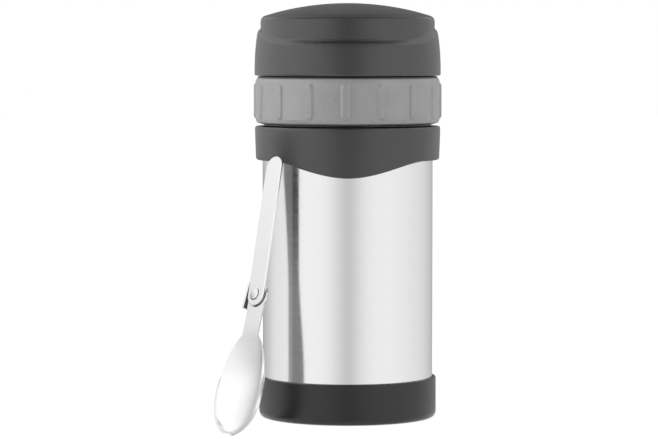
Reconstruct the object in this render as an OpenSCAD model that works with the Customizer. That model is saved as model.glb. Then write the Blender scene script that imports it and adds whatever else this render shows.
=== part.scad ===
// Insulated food jar: a double-walled steel vessel with a neck collar and a base boot,
// a screw stopper with a grip ring, a screw-on bowl lid, and a folding spoon that leans on the jar.
// Millimetres, +Z up, origin on the jar's axis at the surface that it stands on, front towards -Y.

/* [Vessel] */
// Outer diameter of the steel body
body_d = 81.6; // [80.4:0.1:82]
// Wall of the outer steel shell
shell_wall = 0.6; // [0.4:0.05:0.9]
// Wall of the inner steel vessel
liner_wall = 0.5; // [0.4:0.05:0.8]
// Vacuum space between the two steel walls
vacuum_gap = 3; // [2.2:0.1:3.6]
// How far the mouth is set in from the outside of the steel body, all round
mouth_in = 9.1; // [8.6:0.1:10.8]
// Height of steel that shows between the boot and the collar's high edge
body_show_h = 104.1; // [80:0.5:130]
// Radius of the rounded corner at the foot of the inner vessel
liner_corner_r = 9; // [5:0.5:12]

/* [Base boot] */
// How far the boot stands out from the steel body
boot_over = 1.7; // [1.2:0.1:3.6]
// Height of the base boot
boot_h = 19.5; // [14:0.1:26]
// Thickness of the boot's floor
boot_floor = 2.2; // [1.5:0.1:3]
// Radius of the boot's lower edge
boot_edge_r = 4.2; // [2:0.5:5]

/* [Collar] */
// How far the neck collar stands out from the steel body
collar_over = 3.6; // [2.8:0.1:5]
// Height of the collar beside its dips
collar_h = 16.2; // [15.5:0.1:20]
// How far the collar's lower edge dips at the front and the back
collar_dip = 7.3; // [2:0.1:12]
// Thickness of the collar's roof
collar_roof = 2.4; // [1.6:0.1:3]

/* [Stopper] */
// Gap that shows between the collar and the grip ring
neck_gap = 0.9; // [0.6:0.1:2]
// Thickness of the grip ring between its ribs
ring_wall = 4.05; // [3.2:0.05:6]
// Height of the grip ring
ring_h = 22.3; // [21:0.1:26]
// Number of grip ribs
rib_count = 16; // [8:1:24]
// How far a grip rib stands proud of the ring
rib_proud = 0.85; // [0.4:0.05:1.4]
// Width of a grip rib
rib_w = 4.2; // [3:0.1:6]
// Height of a rib
rib_h = 17.1; // [10:0.1:18]
// Thickness of the stopper's deck
deck_t = 2.2; // [1.5:0.1:3]
// Thickness of the skirt wall that carries the stopper's thread
skirt_wall = 2.3; // [1.8:0.1:2.6]
// Depth of the plug below the deck
plug_h = 16.5; // [13:0.1:17]
// Wall of the plug at its groove
plug_wall = 1.6; // [1.2:0.1:2.4]
// Height of the threaded neck on top of the stopper
top_neck_h = 9.8; // [9:0.1:12]

/* [Lid] */
// Gap that shows between the grip ring and the lid
lid_gap = 0.9; // [0.9:0.1:1.5]
// How far the lid's lower edge stands out from the grip ring
lid_over = 0.45; // [0.15:0.05:2]
// How much narrower, per side, the lid's skirt is at its top than at its foot
lid_draw = 1.7; // [0.8:0.1:2]
// Height of the lid's skirt at the sides
lid_skirt_h = 22.1; // [19.5:0.1:26]
// How far the skirt's upper edge dips at the front and the back
ledge_dip = 6.5; // [2:0.1:7]
// How far the crown stands in from the lid's lower edge
crown_in = 2.9; // [2.6:0.1:3.1]
// Height of the crown above the skirt
crown_h = 12.5; // [12:0.1:17]
// Radius of the domed top
dome_r = 134; // [110:1:180]
// Radius of the crown's shoulder
crown_edge_r = 4.8; // [3:0.1:6]
// Wall of the lid shell
lid_wall = 2; // [1.5:0.1:2.2]
// Wall of the bowl liner inside the lid
bowl_wall = 1.5; // [1:0.1:2]

/* [Threads] */
// Distance between neighbouring thread ridges
thread_pitch = 4; // [3.6:0.1:4.4]
// Number of thread starts
thread_starts = 3; // [2:1:4]
// Height of a ridge above its wall
thread_h = 1.3; // [1:0.1:1.5]
// Width of a ridge at its foot
thread_w = 2; // [1.4:0.1:2.2]
// Turn that each ridge covers, in degrees
thread_span = 156; // [96:12:168]

/* [Spoon] */
// Distance from the rivet to the end of the handle
handle_reach = 68.6; // [62:0.2:72]
// Width of the handle
handle_w = 10.4; // [9:0.1:13]
// Thickness of the spoon's sheet steel
spoon_t = 1.2; // [0.9:0.1:1.6]
// Distance from the rivet to the tip of the bowl
bowl_reach = 67.4; // [62:0.2:70]
// Length of the spoon's bowl
bowl_l = 48.4; // [44:0.2:50]
// Width of the spoon's bowl
bowl_w = 30.4; // [26:0.2:34]
// Depth of the spoon's bowl, outside
bowl_h = 7.8; // [6:0.1:9]
// Width of the spoon's neck
neck_w = 10; // [7:0.1:10.2]
// Diameter of the rivet's shank
rivet_d = 3.2; // [2.4:0.1:4]
// Diameter of the rivet's heads
rivet_head_d = 6.2; // [5:0.1:7]
// Height of the tab that stops the handle, above the plate
tab_h = 2.7; // [1.8:0.1:4]
// Height of the tab's upper end
tab_end_h = 1.4; // [0.8:0.1:1.8]
// Angle at which the spoon leans from upright
spoon_lean = 21.8; // [15:0.1:28]

/* [Hidden] */
$fn = 96;

// Colours
steel = [0.80, 0.80, 0.82];
charcoal = [0.20, 0.20, 0.21];
warm_grey = [0.60, 0.60, 0.61];
silicone = [0.85, 0.85, 0.83];
foam = [0.93, 0.90, 0.78];
copper = [0.80, 0.48, 0.30];

// Clearances
fit = 0.1;          // between glued or pressed neighbours
boot_fit = 0.15;    // between the boot and the steel body
collar_fit = 0.2;   // between the collar and the steel body
seat_gap = 0.2;     // between faces that meet when a thread is tight
run_gap = 0.4;      // between a thread's crest and the wall that it faces
seal_gap = 0.25;    // between a seal's lip and the face that it seals
overlap = 0.5;      // how deep a joined form reaches into its neighbour

// Steel vessel: radii, from the outside in
body_r = body_d / 2;
shell_in_r = body_r - shell_wall;
liner_out_r = shell_in_r - vacuum_gap;
liner_in_r = liner_out_r - liner_wall;
mouth_r = body_r - mouth_in;
liner_neck_r = mouth_r + liner_wall;
shell_neck_in_r = liner_neck_r + fit;
shell_neck_r = shell_neck_in_r + shell_wall;

// Heights that show outside, from the foot up
z_collar_low = boot_h + body_show_h;
z_collar_top = z_collar_low + collar_h;
z_ring_low = z_collar_top + neck_gap;
z_ring_top = z_ring_low + ring_h;
z_lid_low = z_ring_top + lid_gap;
z_ledge = z_lid_low + lid_skirt_h;
z_top = z_ledge + crown_h;

// Neck of the vessel
neck_flange_h = 3.3;      // height of the neck ring's flange under the collar's roof
neck_ring_wall = 3.1;     // wall of the neck ring between bore and thread root
deck_drop = 5.4;          // from the grip ring's top to the deck's underside
neck_flange_in = 1;       // how far the flange stays inside the steel body
packing_h = 0.8;          // thickness of the ring between the neck ring and the rolled rim
packing_in = 0.4;         // how far the packing stays inside the rolled rim
rim_over = 1.9;           // how far the rolled rim covers the neck
rim_gap = 1.2;            // space between the rolled rim and the stopper's deck
neck_bore_r = shell_neck_r + fit;
neck_root_r = neck_bore_r + neck_ring_wall;
neck_crest_r = neck_root_r + thread_h;
z_shoulder_top = z_collar_top - collar_roof - fit - neck_flange_h - fit;
shoulder_r = body_r - shell_neck_r;
z_shoulder = z_shoulder_top - shoulder_r;
liner_shoulder_r = liner_out_r - liner_neck_r;
z_liner_shoulder = z_shoulder_top - shell_wall - vacuum_gap - liner_shoulder_r;
z_deck_low = z_ring_top - deck_drop;
z_mouth = z_deck_low - rim_gap;
z_packing = z_mouth - liner_wall - packing_h;

// Foot of the vessel
plate_set_in = 4;         // how far the bottom plate sits above the shell's foot
foot_vacuum = 6;          // vacuum space under the inner vessel
z_shell_low = boot_floor;
z_plate = z_shell_low + plate_set_in;
z_liner_low = z_plate + shell_wall + foot_vacuum;
seal_hole_r = 1.5;
seal_pad_r = 3.5;
seal_pad_h = 1.2;
getter_r = 5;
getter_h = 1.5;
getter_at = 20;
foil_t = 0.15;
boot_groove_r = 30;
boot_groove_w = 1.6;
boot_groove_h = 0.6;
boot_top_r = 1;
boot_r = body_r + boot_over;

// Collar
collar_taper = 0.6;       // how much narrower the collar is at its foot, per side
collar_edge_r = 1.2;
collar_r = body_r + collar_over;
collar_dip_to = 57;       // angle from the front at which the lower edge is level again

// Stopper
flange_t = 0.6;
flange_over = 2.9;
ring_edge_r = 0.9;
rib_start = -1.7;         // angle of the first rib from the front
skirt_in_r = neck_crest_r + run_gap;
skirt_out_r = skirt_in_r + skirt_wall;
ring_r = skirt_out_r + ring_wall;
top_neck_wall = 2.1;
top_neck_in = 0.5;        // how far the top neck stands in from the skirt
top_root_r = skirt_out_r - top_neck_in;
top_crest_r = top_root_r + thread_h;
tray_r = top_root_r - top_neck_wall;
z_skirt_low = z_collar_top + seat_gap;
z_deck_top = z_deck_low + deck_t;
z_flange_top = z_ring_top + flange_t;
z_top_neck = z_flange_top + top_neck_h;
plug_clear = 0.8;         // between the plug and the mouth
plug_edge_r = 2;
plug_floor = 1.8;
groove_depth = 1.8;
groove_h = 3.7;
groove_up = 3.4;          // height of the groove above the plug's foot
gasket_fit = 0.15;        // between the gasket and its groove
lip_depth = 0.65;         // how far the gasket's lips stand out
plug_r = mouth_r - plug_clear;
groove_r = plug_r - groove_depth;
plug_in_r = groove_r - plug_wall;
z_plug_low = z_deck_low - plug_h;
z_groove = z_plug_low + groove_up;

// Lid
lid_r = ring_r + lid_over;
crown_r = lid_r - crown_in;
lid_in_r = top_crest_r + run_gap;
crown_in_r = crown_r - lid_wall;
lid_gasket_h = 1.4;
lid_gasket_in = 0.3;      // how far the seal stays inside the lid's wall
bowl_step = 0.4;          // how much narrower the lid's bowl is than the stopper's tray, per side
bowl_drop = 10.2;         // from the dome's top to the bowl's inner face
foam_in = 3;              // how far the lid's foam stays inside the bowl's wall
skirt_lap = 1;            // how far the skirt's wall stops below the bowl's flange
liner_flange_h = 1.2;
bowl_in_r = tray_r - bowl_step;
bowl_out_r = bowl_in_r + bowl_wall;
bowl_corner_r = 8;
lid_edge_r = 0.8;
ledge_dip_from = 40;      // angle from the front at which the skirt's upper edge starts to rise
ledge_dip_to = 88;        // and the angle at which it is level again
z_lid_gasket = z_top_neck + seal_gap;
z_bowl_rim = z_lid_gasket + lid_gasket_h + fit;
z_lid_step = z_bowl_rim + liner_flange_h;
z_bowl_roof = z_top - bowl_drop;
foam_r = bowl_in_r - foam_in;

// Threads
thread_lead = thread_pitch * thread_starts;
thread_step = 12;         // degrees between the stations of a ridge
thread_crest_w = thread_w / 2;
thread_from = 1.2;        // from the part's edge up to the ridges' first ends
neck_thread_up = 1.4;     // how much higher the neck's ridges start
z_neck_thread = z_ring_low + thread_from + neck_thread_up;
z_top_thread = z_lid_low + thread_from;

// Spoon
handle_gap = 0.15;        // between the plate and the handle
tab_gap = 0.69;           // between the tab and a handle in line with the spoon
stop_gap = 0.1;           // what is left of it where the handle leans on the tab's end
tab_t = 0.9;
tab_l = 13.2;
plate_over = 0.8;         // how far the plate shows beside the handle
rivet_fit = 0.02;
rivet_run = 0.06;         // radial clearance of the handle on the rivet
rivet_head_h = 1;
rivet_side_h = 0.35;      // height of the upright side of a rivet head
spoon_turn = -47.2;       // how far the spoon's face turns from the front, about its length
spoon_lean_to = 59.3;     // direction in which it leans, from +X
spoon_at = 221.7;         // direction of its resting point from the jar's axis
front_at = 270;           // direction of the front from +X
spoon_rest_gap = 0.35;    // from the handle's end to the collar
floor_gap = 0.1;
handle_r = handle_w / 2;
front_share = 0.425;      // share of the bowl's length that is in front of its widest place
bowl_hw = bowl_w / 2;
bowl_front = bowl_l * front_share; // from its widest place to its tip
bowl_back = bowl_l - bowl_front;   // from the neck to its widest place
bowl_at = bowl_reach - bowl_front;
tip_turn = 86;            // how far the front's rings turn towards the tip, in degrees
neck_from = 3;            // where the sheet of the neck starts, below the rivet
handle_end = handle_reach - handle_r;
handle_stop = asin((tab_gap - stop_gap) / (tab_l / 2));

// A list from its end to its start
function reverse(list) = [for (i = [len(list) - 1 : -1 : 0]) list[i]];

// A smooth step from 0 to 1
function smooth(t) = let (c = min(max(t, 0), 1)) c * c * (3 - 2 * c);

// Points of an arc about (x, y), with both ends
function arc(x, y, r, from, to, steps = 8) =
  [for (i = [0 : steps]) let (a = from + (to - from) * i / steps) [x + r * cos(a), y + r * sin(a)]];

// A point turned by an angle about X, Y or Z
function about_x(p, a) = [p[0], p[1] * cos(a) - p[2] * sin(a), p[1] * sin(a) + p[2] * cos(a)];
function about_y(p, a) = [p[0] * cos(a) + p[2] * sin(a), p[1], p[2] * cos(a) - p[0] * sin(a)];
function about_z(p, a) = [p[0] * cos(a) - p[1] * sin(a), p[0] * sin(a) + p[1] * cos(a), p[2]];

// A direction of the spoon's own frame (X across, Y towards the handle's end, Z out of its face),
// as the spoon stands against the jar
function leaned(p) =
  about_z(about_y(about_z(about_z(about_x(p, 90), spoon_turn), -spoon_lean_to), spoon_lean), spoon_lean_to);

// The rivet's place: the bowl's tip is just above the floor, and the handle's end rests on the collar,
// or on the steel where it doesn't reach up to the collar
spoon_x = leaned([1, 0, 0]);
spoon_y = leaned([0, 1, 0]);
spoon_z = leaned([0, 0, 1]);
rest_offset = leaned([-handle_reach * sin(handle_stop), handle_reach * cos(handle_stop), handle_gap]);
tip_drop = norm([spoon_x[2] * bowl_hw, spoon_y[2] * bowl_front, spoon_z[2] * bowl_h]);
z_rivet = floor_gap + spoon_y[2] * bowl_at + tip_drop;
z_collar_edge = z_collar_low - collar_dip * (1 - smooth((front_at - spoon_at) / collar_dip_to));
rest_r = z_rivet + rest_offset[2] > z_collar_edge ? collar_r : body_r;
rest_point = (rest_r + spoon_rest_gap) * [cos(spoon_at), sin(spoon_at), 0];
rivet_at = [rest_point[0] - rest_offset[0], rest_point[1] - rest_offset[1], z_rivet];

// Turns a closed outline of [radius, height] points about the jar's axis
module turned(points) {
  rotate_extrude() polygon(points);
}

// Everything below a wavy edge that runs from low at the front and back to high at the sides
module below_wave(r, low, high, from, to) {
  edge = [for (a = [-90 : 5 : 90]) [r * sin(a), low + (high - low) * smooth((abs(a) - from) / (to - from))]];
  half = 1.2 * r;
  rotate([90, 0, 0])
    linear_extrude(2 * half, center = true)
      polygon(concat([[-half, 0], [-half, high]], edge, [[half, high], [half, 0]]));
}

// One thread ridge on a wall of radius wall_r. side is 1 where it stands outwards, -1 inwards.
// The ridge runs out to nothing over two stations at each end.
module ridge(wall_r, side, z, start) {
  n = round(thread_span / thread_step);
  lift = thread_lead * thread_step / 360;
  crest = [for (i = [0 : n]) thread_h * min(1, (i + 0.3) / 2, (n - i + 0.3) / 2)];
  points = [
    for (i = [0 : n]) let (
      a = start + i * thread_step,
      zi = z + i * lift,
      foot_r = wall_r - side * overlap,
      crest_r = wall_r + side * crest[i]
    ) each [
      [foot_r * cos(a), foot_r * sin(a), zi - thread_w / 2],
      [crest_r * cos(a), crest_r * sin(a), zi - thread_crest_w / 2],
      [crest_r * cos(a), crest_r * sin(a), zi + thread_crest_w / 2],
      [foot_r * cos(a), foot_r * sin(a), zi + thread_w / 2]
    ]
  ];
  walls = [
    for (i = [0 : n - 1], k = [0 : 3]) let (j = (k + 1) % 4)
      each [[4 * i + k, 4 * i + j, 4 * i + 4 + j], [4 * i + k, 4 * i + 4 + j, 4 * i + 4 + k]]
  ];
  ends = [[3, 2, 1], [3, 1, 0], [4 * n, 4 * n + 1, 4 * n + 2], [4 * n, 4 * n + 2, 4 * n + 3]];
  faces = concat(walls, ends);
  polyhedron(points, side > 0 ? faces : [for (f = faces) [f[2], f[1], f[0]]]);
}

// All starts of a thread. shift moves an inner thread half a pitch up from its outer partner.
module thread(wall_r, side, z, shift = 0) {
  for (s = [0 : thread_starts - 1])
    ridge(wall_r, side, z + shift, s * 360 / thread_starts);
}

// Puts the spoon's own frame where the spoon stands
module stand_spoon() {
  translate(rivet_at)
    rotate([0, 0, spoon_lean_to]) rotate([0, spoon_lean, 0]) rotate([0, 0, -spoon_lean_to])
      rotate([0, 0, spoon_turn]) rotate([90, 0, 0])
        children();
}

// Outer steel shell, open at the foot, drawn in to the neck
module outer_shell() {
  color(steel) turned(concat(
    [[shell_in_r, z_shell_low], [body_r, z_shell_low]],
    arc(shell_neck_r, z_shoulder, shoulder_r, 0, 90, 12),
    [[shell_neck_r, z_packing], [shell_neck_in_r, z_packing]],
    arc(shell_neck_in_r, z_shoulder, shell_in_r - shell_neck_in_r, 90, 0, 12)
  ));
}

// Steel disc with a turned-down rim that closes the shell's foot, with the evacuation hole
module bottom_plate() {
  r = shell_in_r - fit / 2;
  color(steel) turned([
    [seal_hole_r, z_plate], [r - shell_wall, z_plate], [r - shell_wall, z_shell_low],
    [r, z_shell_low], [r, z_plate + shell_wall], [seal_hole_r, z_plate + shell_wall]
  ]);
}

// Inner steel vessel with a rounded foot, a drawn-in neck and a rolled rim
module inner_vessel() {
  in_shoulder_r = liner_in_r - mouth_r;
  in_corner_r = liner_corner_r - liner_wall;
  corner_x = liner_out_r - liner_corner_r;
  corner_z = z_liner_low + liner_corner_r;
  color(steel) turned(concat(
    [[0, z_liner_low]],
    arc(corner_x, corner_z, liner_corner_r, -90, 0),
    arc(liner_neck_r, z_liner_shoulder, liner_shoulder_r, 0, 90),
    [[liner_neck_r, z_mouth - liner_wall], [shell_neck_r + rim_over, z_mouth - liner_wall],
     [shell_neck_r + rim_over, z_mouth], [mouth_r, z_mouth]],
    arc(mouth_r, z_liner_shoulder, in_shoulder_r, 90, 0),
    arc(corner_x, corner_z, in_corner_r, 0, -90),
    [[0, z_liner_low + liner_wall]]
  ));
}

// Foil wrapped round the inner vessel, which turns back radiant heat
module radiation_foil() {
  low = z_liner_low + liner_corner_r;
  color(copper) translate([0, 0, low]) difference() {
    cylinder(h = z_liner_shoulder - low, r = liner_out_r + fit + foil_t);
    translate([0, 0, -1]) cylinder(h = z_liner_shoulder - low + 2, r = liner_out_r + fit);
  }
}

// Getter pellet on the bottom plate, in the vacuum
module getter() {
  color("dimgray") translate([getter_at, 0, z_plate + shell_wall]) cylinder(h = getter_h, r = getter_r);
}

// Seal that closes the evacuation hole after the air is drawn out
module evacuation_seal() {
  color("slategray") union() {
    translate([0, 0, z_plate - seal_pad_h]) cylinder(h = seal_pad_h, r = seal_pad_r);
    translate([0, 0, z_plate - overlap]) cylinder(h = shell_wall + overlap, r = seal_hole_r - rivet_fit);
  }
}

// Boot that the body is glued into, with a grip groove underneath
module base_boot() {
  in_r = body_r + boot_fit;
  groove_out = boot_groove_r + boot_groove_w;
  color(charcoal) turned(concat(
    [[0, 0], [boot_groove_r, 0], [boot_groove_r, boot_groove_h], [groove_out, boot_groove_h], [groove_out, 0]],
    arc(boot_r - boot_edge_r, boot_edge_r, boot_edge_r, -90, 0),
    arc(boot_r - boot_top_r, boot_h - boot_top_r, boot_top_r, 0, 90, 5),
    [[in_r, boot_h], [in_r, boot_floor], [0, boot_floor]]
  ));
}

// Collar over the shoulder, with a wavy lower edge
module collar() {
  foot_r = collar_r - collar_taper;
  in_r = body_r + collar_fit;
  z_foot = z_collar_low - collar_dip;
  color(charcoal) difference() {
    turned(concat(
      [[in_r, z_foot], [foot_r, z_foot]],
      arc(collar_r - collar_edge_r, z_collar_top - collar_edge_r, collar_edge_r, 0, 90, 5),
      [[neck_root_r + fit, z_collar_top], [neck_root_r + fit, z_collar_top - collar_roof],
       [in_r, z_collar_top - collar_roof]]
    ));
    below_wave(foot_r, z_foot, z_collar_low, 0, collar_dip_to);
  }
}

// Threaded ring on the steel neck. Its flange holds the collar down.
module neck_ring() {
  z_foot = z_shoulder_top + fit;
  z_flange = z_foot + neck_flange_h;
  flange_r = body_r - neck_flange_in;
  color(charcoal) union() {
    turned([
      [neck_bore_r, z_foot], [flange_r, z_foot], [flange_r, z_flange], [neck_root_r, z_flange],
      [neck_root_r, z_packing], [neck_bore_r, z_packing]
    ]);
    thread(neck_root_r, 1, z_neck_thread);
  }
}

// Soft ring between the neck ring and the rolled rim
module neck_packing() {
  out_r = neck_bore_r + rim_over - packing_in;
  color(silicone) turned([
    [neck_bore_r, z_packing], [out_r, z_packing],
    [out_r, z_packing + packing_h], [neck_bore_r, z_packing + packing_h]
  ]);
}

// Stopper moulding: threaded skirt, deck with a tray for the folded spoon, and threaded top neck
module stopper_core() {
  flange_r = skirt_out_r + flange_over;
  color(charcoal) union() {
    turned([
      [0, z_deck_low], [skirt_in_r, z_deck_low], [skirt_in_r, z_skirt_low], [skirt_out_r, z_skirt_low],
      [skirt_out_r, z_ring_top], [flange_r, z_ring_top], [flange_r, z_flange_top],
      [top_root_r, z_flange_top], [top_root_r, z_top_neck], [tray_r, z_top_neck],
      [tray_r, z_deck_top], [0, z_deck_top]
    ]);
    thread(skirt_in_r, -1, z_neck_thread, thread_pitch / 2);
    thread(top_root_r, 1, z_top_thread);
  }
}

// Grip ring with upright ribs, bored to fit round the threaded skirt
module grip_ring() {
  rib_r = (rib_w * rib_w / 4 + rib_proud * rib_proud) / (2 * rib_proud);
  rib_l = rib_h - rib_w;
  z_rib = (z_ring_low + z_ring_top - rib_l) / 2;
  color(warm_grey) difference() {
    union() {
      turned(concat(
        [[0, z_ring_low]],
        arc(ring_r - ring_edge_r, z_ring_low + ring_edge_r, ring_edge_r, -90, 0, 5),
        arc(ring_r - ring_edge_r, z_ring_top - ring_edge_r, ring_edge_r, 0, 90, 5),
        [[0, z_ring_top]]
      ));
      for (i = [0 : rib_count - 1])
        rotate([0, 0, rib_start + i * 360 / rib_count - 90])
          translate([ring_r + rib_proud - rib_r, 0, z_rib]) {
            cylinder(h = rib_l, r = rib_r);
            sphere(rib_r);
            translate([0, 0, rib_l]) sphere(rib_r);
          }
    }
    translate([0, 0, z_ring_low - 1]) cylinder(h = ring_h + 2, r = skirt_out_r + fit / 2);
  }
}

// Cup under the deck that plugs the mouth and holds the foam, with a groove for the gasket
module stopper_plug() {
  color(charcoal) turned(concat(
    [[0, z_plug_low]],
    arc(plug_r - plug_edge_r, z_plug_low + plug_edge_r, plug_edge_r, -90, 0, 5),
    [[plug_r, z_groove], [groove_r, z_groove], [groove_r, z_groove + groove_h], [plug_r, z_groove + groove_h],
     [plug_r, z_deck_low], [plug_in_r, z_deck_low], [plug_in_r, z_plug_low + plug_floor],
     [0, z_plug_low + plug_floor]]
  ));
}

// Foam block inside the plug
module stopper_foam() {
  color(foam) translate([0, 0, z_plug_low + plug_floor + fit])
    cylinder(h = plug_h - plug_floor - 2 * fit, r = plug_in_r - fit);
}

// Two-lipped gasket in the plug's groove
module stopper_gasket() {
  lip_r = mouth_r - seal_gap;
  valley_r = lip_r - lip_depth;
  in_r = groove_r + gasket_fit;
  low = z_groove + gasket_fit;
  h = groove_h - 2 * gasket_fit;
  color(silicone) turned([
    [in_r, low], [valley_r, low], [lip_r, low + h / 4], [valley_r, low + h / 2],
    [lip_r, low + 3 * h / 4], [valley_r, low + h], [in_r, low + h]
  ]);
}

// Radius of the lid's skirt at a share t of its height
function skirt_r(t) = lid_r - lid_draw * pow(t, 2.5);

// Lid shell: domed crown, and a skirt round it with a wavy upper edge
module lid_shell() {
  edge_x = crown_r - crown_edge_r;
  edge_to_dome = dome_r - crown_edge_r;
  z_centre = z_top - dome_r;
  z_edge = z_centre + sqrt(edge_to_dome * edge_to_dome - edge_x * edge_x);
  edge_angle = acos(edge_x / edge_to_dome);
  color(charcoal) union() {
    turned(concat(
      [[lid_in_r, z_lid_low + lid_edge_r], [crown_r, z_lid_low + lid_edge_r]],
      arc(edge_x, z_edge, crown_edge_r, 0, edge_angle),
      arc(0, z_centre, dome_r, edge_angle, 90),
      arc(0, z_centre, dome_r - lid_wall, 90, edge_angle),
      arc(edge_x, z_edge, crown_edge_r - lid_wall, edge_angle, 0),
      [[crown_in_r, z_lid_step], [lid_in_r, z_lid_step]]
    ));
    intersection() {
      turned(concat(
        [[lid_in_r, z_lid_low]],
        arc(lid_r - lid_edge_r, z_lid_low + lid_edge_r, lid_edge_r, -90, 0, 4),
        [for (t = [0.1 : 0.1 : 1]) [skirt_r(t), z_lid_low + t * lid_skirt_h]],
        [[crown_r - overlap, z_ledge], [crown_r - overlap, z_lid_step - skirt_lap],
         [lid_in_r, z_lid_step - skirt_lap]]
      ));
      below_wave(lid_r - lid_draw, z_ledge - ledge_dip, z_ledge, ledge_dip_from, ledge_dip_to);
    }
    thread(lid_in_r, -1, z_top_thread, thread_pitch / 2);
  }
}

// Bowl liner inside the lid, which is eaten from when the lid is turned over
module bowl_liner() {
  corner_x = bowl_in_r - bowl_corner_r;
  corner_z = z_bowl_roof - bowl_corner_r;
  flange_r = lid_in_r - fit;
  color(warm_grey) turned(concat(
    [[bowl_in_r, z_bowl_rim], [flange_r, z_bowl_rim], [flange_r, z_lid_step], [bowl_out_r, z_lid_step]],
    arc(corner_x, corner_z, bowl_corner_r + bowl_wall, 0, 90),
    [[0, z_bowl_roof + bowl_wall], [0, z_bowl_roof]],
    arc(corner_x, corner_z, bowl_corner_r, 90, 0)
  ));
}

// Foam pad between the bowl liner and the dome
module lid_foam() {
  low = z_bowl_roof + bowl_wall + fit;
  color(foam) intersection() {
    translate([0, 0, low]) cylinder(h = z_top - low, r = foam_r);
    translate([0, 0, z_top - dome_r]) sphere(dome_r - lid_wall - fit, $fn = 200);
  }
}

// Flat seal under the bowl liner's flange
module lid_gasket() {
  out_r = lid_in_r - lid_gasket_in;
  color(silicone) turned([
    [tray_r, z_lid_gasket], [out_r, z_lid_gasket],
    [out_r, z_lid_gasket + lid_gasket_h], [tray_r, z_lid_gasket + lid_gasket_h]
  ]);
}

// Half the width of the neck and of the bowl behind its widest place, at a distance d from the rivet
function back_hw(d) =
  let (t = min(1, (bowl_at - d) / bowl_back), widening = pow(bowl_hw, 3) - pow(neck_w / 2, 3))
  pow(pow(neck_w / 2, 3) + widening * pow(max(0, 1 - t * t), 1.5), 1 / 3);

// How far the bowl has opened at a distance d from the rivet, from 0 in the neck to 1
function opened(d) = smooth((d - bowl_at + bowl_back) / bowl_back);

// A ring of the spoon's sheet: its place along the spoon, its half width and depth inside,
// and how much of the sheet's thickness goes sideways and along the spoon
function back_ring(d) = [d, back_hw(d) - spoon_t * opened(d), (bowl_h - spoon_t) * opened(d), opened(d), 0];
function front_ring(a) =
  [bowl_at + (bowl_front - spoon_t) * sin(a), (bowl_hw - spoon_t) * cos(a), (bowl_h - spoon_t) * cos(a), 1, sin(a)];

// Points of a ring from one rim to the other, on the inner side (t = 0) or the outer side
function ring_points(ring, t) =
  [for (a = [-90 : 15 : 90]) let (
    x = ring[1] * sin(a),
    z = -ring[2] * cos(a),
    side = max(ring[2], 0.01) * sin(a) * ring[3],
    down = ring[1] * cos(a) + ring[1] * (1 - ring[3]),
    size = norm([side, down]),
    across = t * sqrt(1 - ring[4] * ring[4])
  ) [x + across * side / size, -ring[0] - t * ring[4], z - across * down / size]];

// The spoon's sheet from the neck to the tip
module spoon_sheet() {
  backs = [for (i = [0 : 14]) back_ring(neck_from + (bowl_at - neck_from) * i / 15)];
  fronts = [for (i = [0 : 10]) front_ring(tip_turn * i / 10)];
  rings = concat(backs, fronts);
  n = len(ring_points(rings[0], 0));
  points = [for (r = rings) each concat(ring_points(r, 0), reverse(ring_points(r, spoon_t)))];
  m = 2 * n;
  last = m * (len(rings) - 1);
  walls = [
    for (i = [0 : len(rings) - 2], k = [0 : m - 1]) let (a = m * i + k, b = m * i + (k + 1) % m)
      each [[a, b, b + m], [a, b + m, a + m]]
  ];
  ends = [
    for (k = [0 : n - 2])
      each [[k + 1, k, m - 1 - k], [k + 1, m - 1 - k, m - 2 - k],
            [last + k, last + k + 1, last + m - 1 - k], [last + k + 1, last + m - 2 - k, last + m - 1 - k]]
  ];
  polyhedron(points, concat(walls, ends));
}

// Spoon bowl, its neck and the plate under the rivet, with the tab that stops the handle
module spoon_bowl() {
  plate_r = handle_r + plate_over;
  tab_x = handle_r + tab_gap;
  color(steel) stand_spoon() difference() {
    union() {
      spoon_sheet();
      translate([0, 0, -spoon_t]) linear_extrude(spoon_t) {
        circle(plate_r);
        translate([-tab_x - tab_t, -tab_l / 2]) square([tab_x + tab_t, tab_l]);
      }
      translate([-tab_x, 0, 0]) rotate([90, 0, -90])
        linear_extrude(tab_t)
          polygon([[tab_l / 2, -spoon_t], [tab_l / 2, tab_h], [-tab_l / 2, tab_end_h], [-tab_l / 2, -spoon_t]]);
    }
    translate([0, 0, -2 * spoon_t]) cylinder(h = 4 * spoon_t, d = rivet_d + 2 * rivet_fit);
  }
}

// Flat handle with round ends, which turns on the rivet and leans on the tab's end
module spoon_handle() {
  color(steel) stand_spoon() translate([0, 0, handle_gap]) rotate(handle_stop) difference() {
    linear_extrude(spoon_t) {
      circle(handle_r);
      translate([-handle_r, 0]) square([handle_w, handle_end]);
      translate([0, handle_end]) circle(handle_r);
    }
    translate([0, 0, -spoon_t]) cylinder(h = 3 * spoon_t, d = rivet_d + 2 * rivet_run);
  }
}

// A rivet head: the cap of a ball on a short upright side
module rivet_head() {
  cap_h = rivet_head_h - rivet_side_h;
  r = (rivet_head_d * rivet_head_d / 4 + cap_h * cap_h) / (2 * cap_h);
  intersection() {
    translate([0, 0, rivet_head_h - r]) sphere(r);
    cylinder(h = rivet_head_h, d = rivet_head_d);
  }
}

// Rivet through the plate and the handle
module spoon_rivet() {
  low = -spoon_t - fit / 2;
  high = handle_gap + spoon_t + fit;
  color(steel) stand_spoon() union() {
    translate([0, 0, high]) rivet_head();
    translate([0, 0, low]) mirror([0, 0, 1]) rivet_head();
    translate([0, 0, low - rivet_head_h / 2]) cylinder(h = high - low + rivet_head_h, d = rivet_d);
  }
}

outer_shell();
bottom_plate();
inner_vessel();
radiation_foil();
getter();
evacuation_seal();
base_boot();
collar();
neck_ring();
neck_packing();
stopper_core();
grip_ring();
stopper_plug();
stopper_foam();
stopper_gasket();
lid_shell();
bowl_liner();
lid_foam();
lid_gasket();
spoon_bowl();
spoon_handle();
spoon_rivet();
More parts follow.
